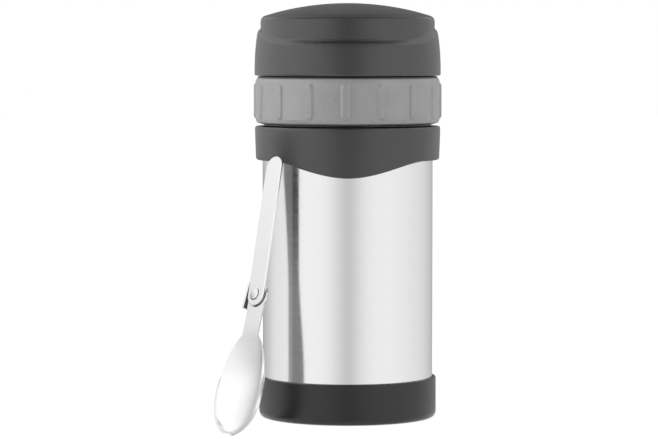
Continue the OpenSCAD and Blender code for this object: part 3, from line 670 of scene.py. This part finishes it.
# ------------------------ the lid
# How its upper edge changes round the jar, each a share from 0 to 1
off_front = from_front(angle)
side = smooth((off_front - 40) / 48)                # the ledge is high
round_side = smooth((off_front - 50) / 34)          # the lip has become a wide round
set_back = 1 - smooth((off_front - 24) / 32)        # the band is set back from the lip
slope = 0.42 + 0.58 * smooth((off_front - 4) / 21)  # the ledge slopes outwards
ledge = LEDGE - LEDGE_DIP * (1 - side)
ledge_share = (ledge - LID_LOW) / (LEDGE - LID_LOW)


def skirt_r(t):
    """Radius of the lid's skirt at a share t of its height: it draws in as t to the power 2.5."""
    return LID_R - LID_DRAW * t ** 2.5


def dome_z(r):
    """Height of the dome's sphere at a radius."""
    return TOP - DOME_R + np.sqrt(DOME_R ** 2 - r ** 2)


def lid_outline():
    """Dome, lip, band, ledge and skirt outside, then the inner wall back to the middle. At the front
    the dome's edge rolls down to a crisp lip over a set-back band, and at the sides it becomes a
    wide round. The ledge slopes outwards all the way round, least at the front."""
    rolled = 1 - round_side
    lip_r = CROWN_R - LIP_IN * rolled
    lip_z = dome_z(lip_r) - LIP_FALL * rolled
    lip_foot = lip_z - LIP_EDGE_H - SIDE_ROUND_H * round_side
    band_r = lip_r - BAND_IN * set_back
    ledge_in = ledge + slope * (LEDGE_RISE + (LEDGE_RISE_SIDE - LEDGE_RISE) * side)
    dome = [(r, dome_z(r)) for r in np.linspace(0, 33, 23)]
    for at_side, at_front in ((33.4, 37.0), (33.7, 38.2), (34.0, 39.3), (34.3, 40.3)):
        r = at_side + (at_front - at_side) * rolled
        rolling = np.clip((r - ROLL_FROM) / (CROWN_R - LIP_IN - ROLL_FROM), 0, 1) ** 1.8
        dome.append((r, dome_z(r) - LIP_FALL * rolled * rolling))
    edge = [
        (lip_r, lip_z, 0.5 + 4.2 * round_side), (lip_r, lip_foot),
        (band_r, lip_foot - 0.25 * set_back - 0.02, 0.25), (band_r, ledge_in + 0.1 + 2.1 * set_back),
        (band_r, ledge_in, 0.9 * set_back + 0.7 * slope),
        (skirt_r(ledge_share), ledge - LEDGE_FALL * slope, 0.55 + 0.35 * side)]
    skirt = [(skirt_r(ledge_share * t), LID_LOW + (ledge - LID_LOW) * t)
             for t in (0.9, 0.82, 0.7, 0.5, 0.3, 0.15)]
    crown_in_r = CROWN_R - LID_WALL
    inside = [
        (LID_R, LID_LOW, 1.0), (LID_IN_R, LID_LOW, 0.3), (LID_IN_R, LID_STEP, 0.2),
        (crown_in_r, LID_STEP, 0.3), (crown_in_r, CROWN_IN_TOP, 4.0)]
    inside += [(r, dome_z(r) - LID_WALL) for r in (30, 20, 10, 0)]
    return dome + edge + skirt + inside


piece("lid_moulding", [turned(lid_outline(), close=False)] + ridges(LID_IN_R, -1, TOP_THREAD + PITCH / 2),
      "lid", lid_plastic, ["lid_shell"])

bowl_out_r, bowl_flange_r, bowl_back = BOWL_IN_R + BOWL_WALL, LID_IN_R - FIT, BOWL_ROOF + BOWL_WALL
piece("lid_bowl", [turned(
    [(0, BOWL_ROOF), (20, BOWL_ROOF), (BOWL_IN_R, BOWL_ROOF, 8.0), (BOWL_IN_R, BOWL_RIM, 0.35),
     (bowl_flange_r, BOWL_RIM, 0.25), (bowl_flange_r, LID_STEP, 0.25), (bowl_out_r, LID_STEP, 0.4),
     (bowl_out_r, bowl_back, 9.5), (20, bowl_back), (0, bowl_back)], close=False)],
    "lid", bowl_plastic, ["bowl_liner"])

piece("lid_seal_ring", [turned(
    [(r, z, 0.3) for r, z in ((TRAY_R, SEAL_LOW), (SEAL_R, SEAL_LOW), (SEAL_R, SEAL_LOW + SEAL_H),
                              (TRAY_R, SEAL_LOW + SEAL_H))])],
    "lid_seal", silicone, ["lid_gasket"])

# ------------------------ the spoon
# Its own frame: x across, y from the rivet to the handle's end, z out of its face
SPOON_T = 1.2
HANDLE_R, HANDLE_REACH, HANDLE_GAP = 5.2, 68.6, 0.15
BOWL_REACH, BOWL_L, BOWL_HW, BOWL_H = 67.4, 48.4, 15.2, 7.8
BOWL_FRONT = 0.425 * BOWL_L            # from its widest place to its tip
BOWL_BACK = BOWL_L - BOWL_FRONT
BOWL_AT = BOWL_REACH - BOWL_FRONT      # its widest place
NECK_HW, NECK_FROM = 5.0, 2.0
PLATE_R = HANDLE_R + 0.8
RIVET_HEAD_R = 3.1
TAB_L, TAB_T, TAB_GAP = 13.2, 0.9, 0.69
TAB_H, TAB_END_H = 2.7, 1.4            # its height at its lower and its upper end
STOP_GAP = 0.1                         # what is left of TAB_GAP where the handle leans on the tab
HANDLE_STOP = math.asin((TAB_GAP - STOP_GAP) / (TAB_L / 2))
RIM_PROUD = 0.08                       # less than what the folded handle leaves over the rim

# How it leans on the jar, in degrees
LEAN, LEAN_TO = 21.8, 59.3             # from upright, and the way it leans, from +X
FACE_TURN = -47.2                      # how far its face turns from the front
RESTS_AT = 221.7                       # where its handle's end rests on the collar, from +X
REST_GAP, FLOOR_GAP = 0.35, 0.1


def turn(axis, degrees):
    """Turning matrix about x, y or z."""
    c, s = math.cos(math.radians(degrees)), math.sin(math.radians(degrees))
    i, j = [(1, 2), (2, 0), (0, 1)]["xyz".index(axis)]
    m = np.eye(3)
    m[i, i], m[j, j], m[i, j], m[j, i] = c, c, -s, s
    return m


LEANED = turn("z", LEAN_TO) @ turn("y", LEAN) @ turn("z", FACE_TURN - LEAN_TO) @ turn("x", 90)


def rivet_place():
    """Where the rivet is when the bowl's lowest point is just over the floor and the handle's end
    just off the collar. The bowl is an ellipsoid, and its lowest point lies below its middle by the
    length of its half axes times the heights of the spoon's directions."""
    up = LEANED[2]
    z = FLOOR_GAP + up[1] * BOWL_AT + np.linalg.norm(up * (BOWL_HW, BOWL_FRONT, BOWL_H))
    sine, cosine = math.sin(HANDLE_STOP), math.cos(HANDLE_STOP)
    handle_end = LEANED @ (-HANDLE_REACH * sine, HANDLE_REACH * cosine, HANDLE_GAP)
    at = math.radians(RESTS_AT)
    rest = (COLLAR_R + REST_GAP) * np.array([math.cos(at), math.sin(at)])
    return np.array([*(rest - handle_end[:2]), z])


RIVET = rivet_place()


def stood(points):
    """Points of the spoon's own frame, put where the spoon leans on the jar."""
    return points @ LEANED.T + RIVET


def swung(points):
    """Points turned with the handle, which leans on the tab's upper end."""
    return points @ turn("z", math.degrees(HANDLE_STOP)).T


def spoon_finish():
    """Satin steel. Lighter in the bowl, partly for its polish and partly as painted light that the hollow
    throws back, with painted shade in its throat and on the bowl's outer rim.
    Painted shade also sits round the rivet's head, along the handle's edge over the plate, and on the stop
    tab's inside."""
    f = brushed_steel("spoon_steel", (0.86, 0.86, 0.865), 0.3, (3, 3, 3))
    own = f.add("ShaderNodeMapping")
    own.inputs["Rotation"].default_value = Matrix(LEANED.T.tolist()).to_euler("XYZ")
    own.inputs["Location"].default_value = (-LEANED.T @ RIVET * MM).tolist()
    f.link(f.place, own, "Vector")
    in_mm = f.add("ShaderNodeVectorMath", operation="SCALE")
    in_mm.inputs["Scale"].default_value = 1 / MM
    f.link(own.outputs["Vector"], in_mm, 0)
    x, y, z = f.axes(in_mm.outputs["Vector"])

    # painted shade on the head's rolled edge, most at its lower right, and a faint painted shade on its face
    # at the lower left
    from_rivet = f.distance(x, y)
    head_edge_shade = f.times(f.span(from_rivet, 3.02, 2.88), f.span(from_rivet, 2.32, 2.56), f.span(z, 1.3, 1.5),
                         f.span(f.minus(x, y), -2.6, 1.2, 0.12, 1.0))
    head_face_shade = f.times(f.span(from_rivet, 2.6, 2.2), f.span(z, 1.5, 1.7), f.span(f.plus(x, y), 1.0, -2.6))
    # painted shade on the plate and the handle's side just outside the handle's round end, most at the right
    outside = f.minus(f.distance(x, f.math("MINIMUM", y, 0.0)), HANDLE_R)
    plate_shade = f.times(f.span(outside, -0.35, -0.15), f.span(outside, 0.75, 0.6), f.span(z, 1.15, 0.6),
                         f.span(y, 3.0, 0.5, 0.5, 1.0), f.span(y, 5.2, 4.2), f.span(x, -3.2, 0.4, 0.15, 1.0))
    # painted shade on the tab's inside, from tab_low up to half of its height
    tab_low = 0.74
    tab_top = f.span(y, -TAB_L / 2, TAB_L / 2, TAB_H, TAB_END_H, curve="LINEAR")
    up_tab = f.math("DIVIDE", f.minus(z, tab_low), f.minus(tab_top, tab_low))
    tab_inside_shade = f.times(f.span(x, -6.04, -5.93), f.span(x, -5.35, -5.5), f.span(y, -7.3, -6.9),
                         f.span(y, 7.3, 6.9), f.span(up_tab, 0.66, 0.38))
    # the painted shade masks, joined; they darken the steel almost to black
    painted_shade = f.most(f.times(head_edge_shade, 0.92), f.times(plate_shade, 0.95), f.times(tab_inside_shade, 0.95),
                     f.times(head_face_shade, 0.2))

    satin = f.shader.inputs["Base Color"].links[0].from_socket
    # painted light and shade in the bowl: lighter inside it, partly for its polish and partly as painted
    # light thrown back by the hollow; painted shade in its throat and on its outer rim, both most at the
    # right
    bowl_polish_and_bounce = f.span(y, -28, -47)
    throat_shade = f.times(f.span(y, -13, -20), f.span(y, -40, -27), f.span(x, -6, 3, 0.35, 1.0))
    outer_rim_shade = f.times(f.span(y, -16, -30), f.span(z, -0.45, -0.2), f.span(x, -8, 8, 0.05, 1.0))
    tone = f.blend(bowl_polish_and_bounce, satin, (0.98, 0.98, 0.985))
    tone = f.blend(throat_shade, tone, (0.76, 0.76, 0.765))
    tone = f.blend(outer_rim_shade, tone, (0.66, 0.66, 0.665))
    f.colour(f.blend(painted_shade, tone, (0.035, 0.035, 0.036)))
    return f


def superellipse(q, power):
    """Cosine and sine with their sizes raised to a power: a square whose corners are round."""
    return [np.sign(v) * np.abs(v) ** power for v in (np.cos(q), np.sin(q))]


def spoon_shell():
    """Neck and bowl as one bent sheet. Rings lie across the spoon: behind the widest place the cube
    of their half width goes from the neck's to the bowl's as 1 - t squared to the power 1.5, with t
    from 1 to 0, and in front they follow an ellipse to the tip. Each ring is half an ellipse, and the
    sheet's thickness is laid outside it along its normal. Each rim is closed over half a
    superellipse: nearly flat, with round corners, and proud by RIM_PROUD."""
    n = 60
    back = np.linspace(NECK_FROM, BOWL_AT, n, endpoint=False)
    t = np.minimum((BOWL_AT - back) / BOWL_BACK, 1)
    half = (NECK_HW ** 3 + (BOWL_HW ** 3 - NECK_HW ** 3) * (1 - t ** 2) ** 1.5) ** (1 / 3)
    opened = smooth((back - BOWL_AT + BOWL_BACK) / BOWL_BACK)
    a = np.radians(89.85 * (1 - np.linspace(1, 0, n) ** 1.6))
    inside = np.concatenate([half - SPOON_T * opened, (BOWL_HW - SPOON_T) * np.cos(a)])
    deep = np.concatenate([(BOWL_H - SPOON_T) * opened, (BOWL_H - SPOON_T) * np.cos(a)])
    along = np.concatenate([back, BOWL_AT + (BOWL_FRONT - SPOON_T) * np.sin(a)])
    opened = np.concatenate([opened, np.ones(n)])[:, None]
    tipped = np.concatenate([np.zeros(n), np.sin(a)])[:, None]
    inside, deep, along = inside[:, None], deep[:, None], along[:, None]
    b = np.radians(np.linspace(-90, 90, 61))[None, :]
    x, z = inside * np.sin(b), -deep * np.cos(b)
    nx = np.maximum(deep, 0.01) * np.sin(b) * opened
    nz = inside * np.cos(b) + inside * (1 - opened)
    size = np.hypot(nx, nz)
    across = np.sqrt(1 - tipped ** 2)
    normal = np.stack([across * nx / size, -tipped + 0 * nx, -across * nz / size], -1)
    inner = np.stack([x, -along + 0 * x, z], -1)
    outer = inner + SPOON_T * normal
    s = np.linspace(0, np.pi, 12)[1:-1]
    rims = []
    for end, order in ((-1, s), (0, s[::-1])):
        middle = (inner[:, end] + outer[:, end]) / 2
        half_t = (outer[:, end] - inner[:, end]) / 2
        way = half_t / (SPOON_T / 2) * (1 if end else -1)
        out = np.stack([-way[:, 2], 0 * way[:, 1], np.hypot(way[:, 0], way[:, 1])], -1)
        through, proud = (v[None, :, None] for v in superellipse(order, 0.45))
        rims.append(middle[:, None] - half_t[:, None] * through + out[:, None] * RIM_PROUD * proud)
    return np.concatenate([inner, rims[0], outer[:, ::-1], rims[1]], 1)


def capped(points):
    """A closed tube of rings with both ends drawn in to their middles."""
    ends = [np.repeat(points[k].mean(0)[None], points.shape[1], 0)[None] for k in (0, -1)]
    return np.concatenate([ends[0], points, ends[1]], 0)


def plate(reach, low, high, edge, length=0.0):
    """A flat piece from low to high whose outline is a circle drawn out along y by a length. From the
    middle of its top the surface runs out, round the edge and back to the middle underneath."""
    q = np.linspace(0, 2 * np.pi, 96, endpoint=False)
    spine = np.stack([0 * q, np.where(np.sin(q) > 0, length, 0)], -1)
    way = np.stack([np.cos(q), np.sin(q)], -1)
    s = np.linspace(0, np.pi / 2, 6)
    flat = np.linspace(0, 1, 16)[:-1] * (reach - edge)
    out = np.concatenate([flat, reach - edge + edge * np.sin(s), reach - edge + edge * np.cos(s), flat[::-1]])
    height = np.concatenate([high + 0 * flat, high - edge + edge * np.cos(s), low + edge - edge * np.sin(s),
                             low + 0 * flat])
    xy = spine[:, None] + way[:, None] * out[None, :, None]
    return np.concatenate([xy, np.broadcast_to(height[None, :, None], (*xy.shape[:2], 1))], -1)


def tab():
    """The plate's bent-up stop: a bar whose section is a rounded rectangle, with its height falling
    from the lower end to the upper, and its ends eased over 0.3 mm."""
    y = np.linspace(-TAB_L / 2, TAB_L / 2, 25)
    across, up = superellipse(np.linspace(0, 2 * np.pi, 32, endpoint=False), 0.35)
    top = TAB_H - (TAB_H - TAB_END_H) * (y / TAB_L + 0.5)
    shrink = (1 - 0.3 * np.clip((np.abs(y) - TAB_L / 2 + 0.3) / 0.3, 0, 1) ** 2)[:, None]
    middle, half = (top[:, None] - SPOON_T) / 2, (top[:, None] + SPOON_T) / 2
    x = -(HANDLE_R + TAB_GAP + TAB_T / 2) + TAB_T / 2 * across * shrink
    z = middle + half * up * shrink
    return capped(np.stack([x, y[:, None] + 0 * x, z], -1))


def tab_root():
    """The flat strip that joins the plate with the tab."""
    x = np.linspace(-6.7, -2, 12)[:, None]
    q = np.linspace(0, 2 * np.pi, 32, endpoint=False)[None, :]
    y = (TAB_L / 2 - 0.05) * superellipse(q, 0.2)[0] + 0 * x
    z = -SPOON_T / 2 + (SPOON_T / 2 - 0.01) * superellipse(q, 0.4)[1] + 0 * x
    return capped(np.stack([x + 0 * y, y, z], -1))


def rivet_form():
    """Two button heads with a low dome and a rolled edge, on a shank."""
    top, low = HANDLE_GAP + SPOON_T + 0.1, -SPOON_T - 0.05
    head = [(0, 1.0), (0.9, 0.97), (1.8, 0.85), (2.5, 0.67), (RIVET_HEAD_R, 0.42, 0.3),
            (RIVET_HEAD_R, 0, 0.1), (1.6, 0)]
    front = [(r, top + up, *size) for r, up, *size in head]
    behind = [(r, low - up, *size) for r, up, *size in head[::-1]]
    return sheet(stood(spun(rounded(front + behind, 64), around(64))))


spoon_steel = spoon_finish()
bowl_sheets = [sheet(stood(capped(spoon_shell())), close_u=False, close_v=True),
               sheet(stood(plate(PLATE_R, -SPOON_T, 0.0, 0.25))),
               sheet(stood(tab()), close_u=False, close_v=True),
               sheet(stood(tab_root()), close_u=False, close_v=True)]
handle = plate(HANDLE_R, HANDLE_GAP, HANDLE_GAP + SPOON_T, 0.3, HANDLE_REACH - HANDLE_R)
handle_sheets = [sheet(stood(swung(handle)))]
spoon_pieces = [
    piece("spoon_bowl_sheet", bowl_sheets, "spoon", spoon_steel, ["spoon_bowl"]),
    piece("spoon_handle_strip", handle_sheets, "handle", spoon_steel, ["spoon_handle"]),
    piece("spoon_rivet_form", [rivet_form()], "spoon", spoon_steel, ["spoon_rivet"])]
for made in spoon_pieces:
    made.visible_glossy = False  # soft light only: no streak of the spoon on the brushed steel


# ------------------------ stage
def white_floor():
    """Pale paper that looks white and keeps a soft shadow: part of what is seen is light of its own."""
    f = Finish("floor_paper")
    f.shader.inputs["Base Color"].default_value = (0.80, 0.80, 0.80, 1)
    f.rough(0.9)
    glow = f.add("ShaderNodeEmission")
    glow.inputs["Strength"].default_value = 1.46
    f.surface(f.either(f.times(f.seen(), 0.55), f.shader.outputs["BSDF"], glow.outputs["Emission"]))
    return f


FLOOR_HALF = 6
mesh = bpy.data.meshes.new("floor")
mesh.from_pydata([(FLOOR_HALF * x, FLOOR_HALF * y, 0) for x, y in ((-1, -1), (1, -1), (1, 1), (-1, 1))],
                 [], [(0, 1, 2, 3)])
put("floor", mesh, white_floor())

# ------------------------ tents of light
# How bright the jar's tent is at an angle from the front, to either side
BRIGHT = [(0, 0.65), (4, 0.66), (12, 0.77), (20, 0.88), (29, 0.96), (38, 1.0), (56, 1.015), (76, 0.98),
          (96, 0.92), (109, 0.88), (124, 0.81), (145, 0.65), (160, 0.53), (180, 0.40)]
TENT_R, TENT_WALL_H, TENT_H = 0.24, 0.7, 0.76
TENT_HOLE = 0.046                         # radius of the hole that the jar stands in
STAND_OFF = 0.0459                        # how far the wall that mirrors it stands off the axis
FLAG_LEFT, FLAG_LEFT_HIGH = -87.9, -97.7  # the flag's left edge at its foot and at its top, in degrees
FLAG_RIGHT_LOW, FLAG_RIGHT = -61.5, -69.6
SPOON_TIP = stood(np.array([0, -BOWL_REACH, 0])) * MM


def for_the_jar(f, degrees, from_middle, x, z):
    """The light that the jar mirrors. A dark flag stands at the left, up to 125 mm: its left edge
    leans, its right edge runs out at the foot, and its left part is lighter. Higher up the light is
    dimmer where the camera looks in, above the camera and behind, and fuller at the left."""
    ramp = f.add("ShaderNodeValToRGB")
    f.link(f.span(from_middle, 0, 180, curve="LINEAR"), ramp, "Fac")
    stops = ramp.color_ramp.elements
    while len(stops) < len(BRIGHT):
        stops.new(0.5)
    for stop, (at, bright) in zip(stops, BRIGHT):
        stop.position = at / 180
        stop.color = (bright, bright, bright, 1)
    lit = f.times(ramp.outputs["Color"], f.minus(1.06, f.times(x, 0.1)))

    lean = f.math("POWER", f.span(z, 0.046, 0.110, curve="LINEAR"), 1.6)
    past_left = f.minus(degrees, f.plus(FLAG_LEFT, f.times(lean, FLAG_LEFT_HIGH - FLAG_LEFT)))
    past_right = f.minus(degrees, f.span(z, 0.0, 0.06, FLAG_RIGHT_LOW, FLAG_RIGHT))
    flag = f.times(f.span(past_left, -0.8, 0.8), f.span(past_right, 0.6, -0.6))
    right_part = f.span(degrees, -82.5, -79.0)
    dark = f.plus(f.times(f.minus(1.0, right_part), f.span(z, 0.03, 0.11, 0.64, 0.80)),
                  f.times(right_part, f.span(z, 0.03, 0.11, 0.76, 0.94)))
    high = f.span(z, 0.108, 0.122)
    over_flag = f.times(f.span(z, 0.1235, 0.1265), f.span(z, 0.144, 0.138))
    for share, by in (
            (f.times(flag, f.span(z, 0.1265, 0.1235)), dark),
            (f.times(flag, over_flag), -0.45),
            # far back at the left
            (f.span(degrees, -115, -145), 0.12),
            # where the camera looks in, and to its left
            (f.times(f.span(from_middle, 33, 2), high), 0.35),
            (f.times(f.span(degrees, -27, -88), high), -0.25),
            # above the camera
            (f.times(f.span(from_middle, 62, 8), f.span(z, 0.21, 0.27)), 0.8),
            # high at the back, and right behind
            (f.times(f.span(from_middle, 95, 120), f.span(z, 0.205, 0.24)), -0.4),
            (f.times(f.span(from_middle, 148, 168), f.span(z, 0.195, 0.225)), 0.5)):
        lit = f.dimmed(lit, share, by)
    return lit


def for_the_spoon(f, degrees, from_middle, x, y, z):
    """The light that the spoon mirrors: full from above and from the front, dimmer low down, far
    back and on the floor round the spoon's tip."""
    above = f.plus(f.span(from_middle, 40, 85, 1.16, 0.97), f.span(z, 0.17, 0.24, 0.0, 0.1))
    low_right = f.times(f.span(degrees, 58, 82), f.span(z, 0.125, 0.085, 0.0, 0.66))
    low = f.times(f.span(degrees, -65, -127, 1.08, 0.38), f.minus(1.0, low_right))
    share = f.span(z, 0.06, 0.17)
    lit = f.plus(f.times(share, above), f.times(f.minus(1.0, share), low))
    far_back = f.times(f.span(degrees, -125, -170), f.span(z, 0.40, 0.12))
    from_tip = f.distance(f.minus(x, SPOON_TIP[0]), f.minus(y, SPOON_TIP[1]))
    by_tip = f.times(f.span(from_tip, 0.060, 0.020), f.span(z, 0.02, 0.005))
    return f.dimmed(f.dimmed(lit, far_back, 0.33), by_tip, 0.45)


def tent_cloth(name, for_jar):
    """Light cloth whose brightness goes by direction from the front, as the jar's wall mirrors it:
    the place's own angle plus a share of the sine of half that angle, as the wall stands off the
    axis. The spoon's cloth lets through what is behind it."""
    f = Finish(name)
    x, y, z = f.axes(f.place)
    turn_at = f.math("ARCTAN2", x, f.times(y, -1.0))
    out = f.most(f.distance(x, y), f.span(z, 0.6, TENT_WALL_H, TENT_HOLE, TENT_R))
    shift = f.times(f.math("DIVIDE", STAND_OFF, out), f.math("SINE", f.times(turn_at, 0.5)))
    degrees = f.times(f.plus(turn_at, shift), 180 / math.pi)
    from_middle = f.math("ABSOLUTE", degrees)
    glow = f.add("ShaderNodeEmission")
    if for_jar:
        f.link(for_the_jar(f, degrees, from_middle, x, z), glow, "Strength")
        f.surface(glow.outputs["Emission"])
        return f
    f.link(for_the_spoon(f, degrees, from_middle, x, y, z), glow, "Strength")
    both = f.add("ShaderNodeAddShader")
    f.link(glow.outputs["Emission"], both, 0)
    f.link(f.add("ShaderNodeBsdfTransparent").outputs["BSDF"], both, 1)
    f.surface(both.outputs["Shader"])
    return f


def light_tent(name, radius, finish, state):
    """A closed tent of cloth round the jar that only gloss sees, from a disc just over the floor to
    a cone on top. Its light reaches only the spoon (INCLUDE), or all but the spoon (EXCLUDE)."""
    a = around(96)
    foot = 0.0004 + (TENT_R - radius) / 10
    outline = np.array([(TENT_HOLE, foot), (0.1, foot), (radius, foot), (radius, 0.2), (radius, 0.4),
                        (radius, TENT_WALL_H), (0.01, TENT_H)])
    points = spun(np.broadcast_to(outline, (len(a), *outline.shape)), a)
    mesh = bpy.data.meshes.new(name)
    mesh.from_pydata(points.reshape(-1, 3).tolist(), [], sheet(points)[1].tolist())
    tent = put(name, mesh, finish)
    tent.visible_camera = tent.visible_diffuse = tent.visible_shadow = tent.visible_transmission = False
    reach = bpy.data.collections.new(name + "_reach")
    for made in spoon_pieces:
        reach.objects.link(made)
    for entry in reach.collection_objects:
        entry.light_linking.link_state = state
    tent.light_linking.receiver_collection = reach


light_tent("jar_tent", TENT_R, tent_cloth("jar_tent_cloth", True), "EXCLUDE")
light_tent("spoon_tent", TENT_R - 0.005, tent_cloth("spoon_tent_cloth", False), "INCLUDE")

# ------------------------ world and lamps
world = bpy.data.worlds.new("studio")
bpy.context.scene.world = world
world.use_nodes = True
studio = Nodes(world.node_tree)
room, backdrop = studio.tree.nodes["Background"], studio.add("ShaderNodeBackground")
for node, strength in ((room, 0.55), (backdrop, 1.0)):
    node.inputs["Color"].default_value = (1, 1, 1, 1)
    node.inputs["Strength"].default_value = strength
shown = studio.either(studio.seen(), room.outputs["Background"], backdrop.outputs["Background"])
studio.link(shown, studio.tree.nodes["World Output"], "Surface")


def soft_lamp(name, place, watts):
    """A tall rectangular lamp that faces the jar. Gloss shows the tent instead of it."""
    aim = (0, 0, 0.1)
    data = bpy.data.lights.new(name, "AREA")
    data.shape = "RECTANGLE"
    data.size, data.size_y = 0.9, 1.2
    data.energy = watts
    lamp = bpy.data.objects.new(name, data)
    bpy.context.collection.objects.link(lamp)
    lamp.location = place
    lamp.visible_camera = lamp.visible_glossy = False
    way = np.array(aim) - np.array(place)
    yaw = math.atan2(way[1], way[0]) - math.pi / 2
    pitch = math.atan2(way[2], math.hypot(way[0], way[1]))
    lamp.rotation_euler = (math.pi / 2 + pitch, 0, yaw)


soft_lamp("left_panel", (-1.1, -0.5, 0.5), 15)
soft_lamp("right_panel", (1.1, -0.6, 0.5), 11)

bpy.context.scene.view_settings.view_transform = "Standard"
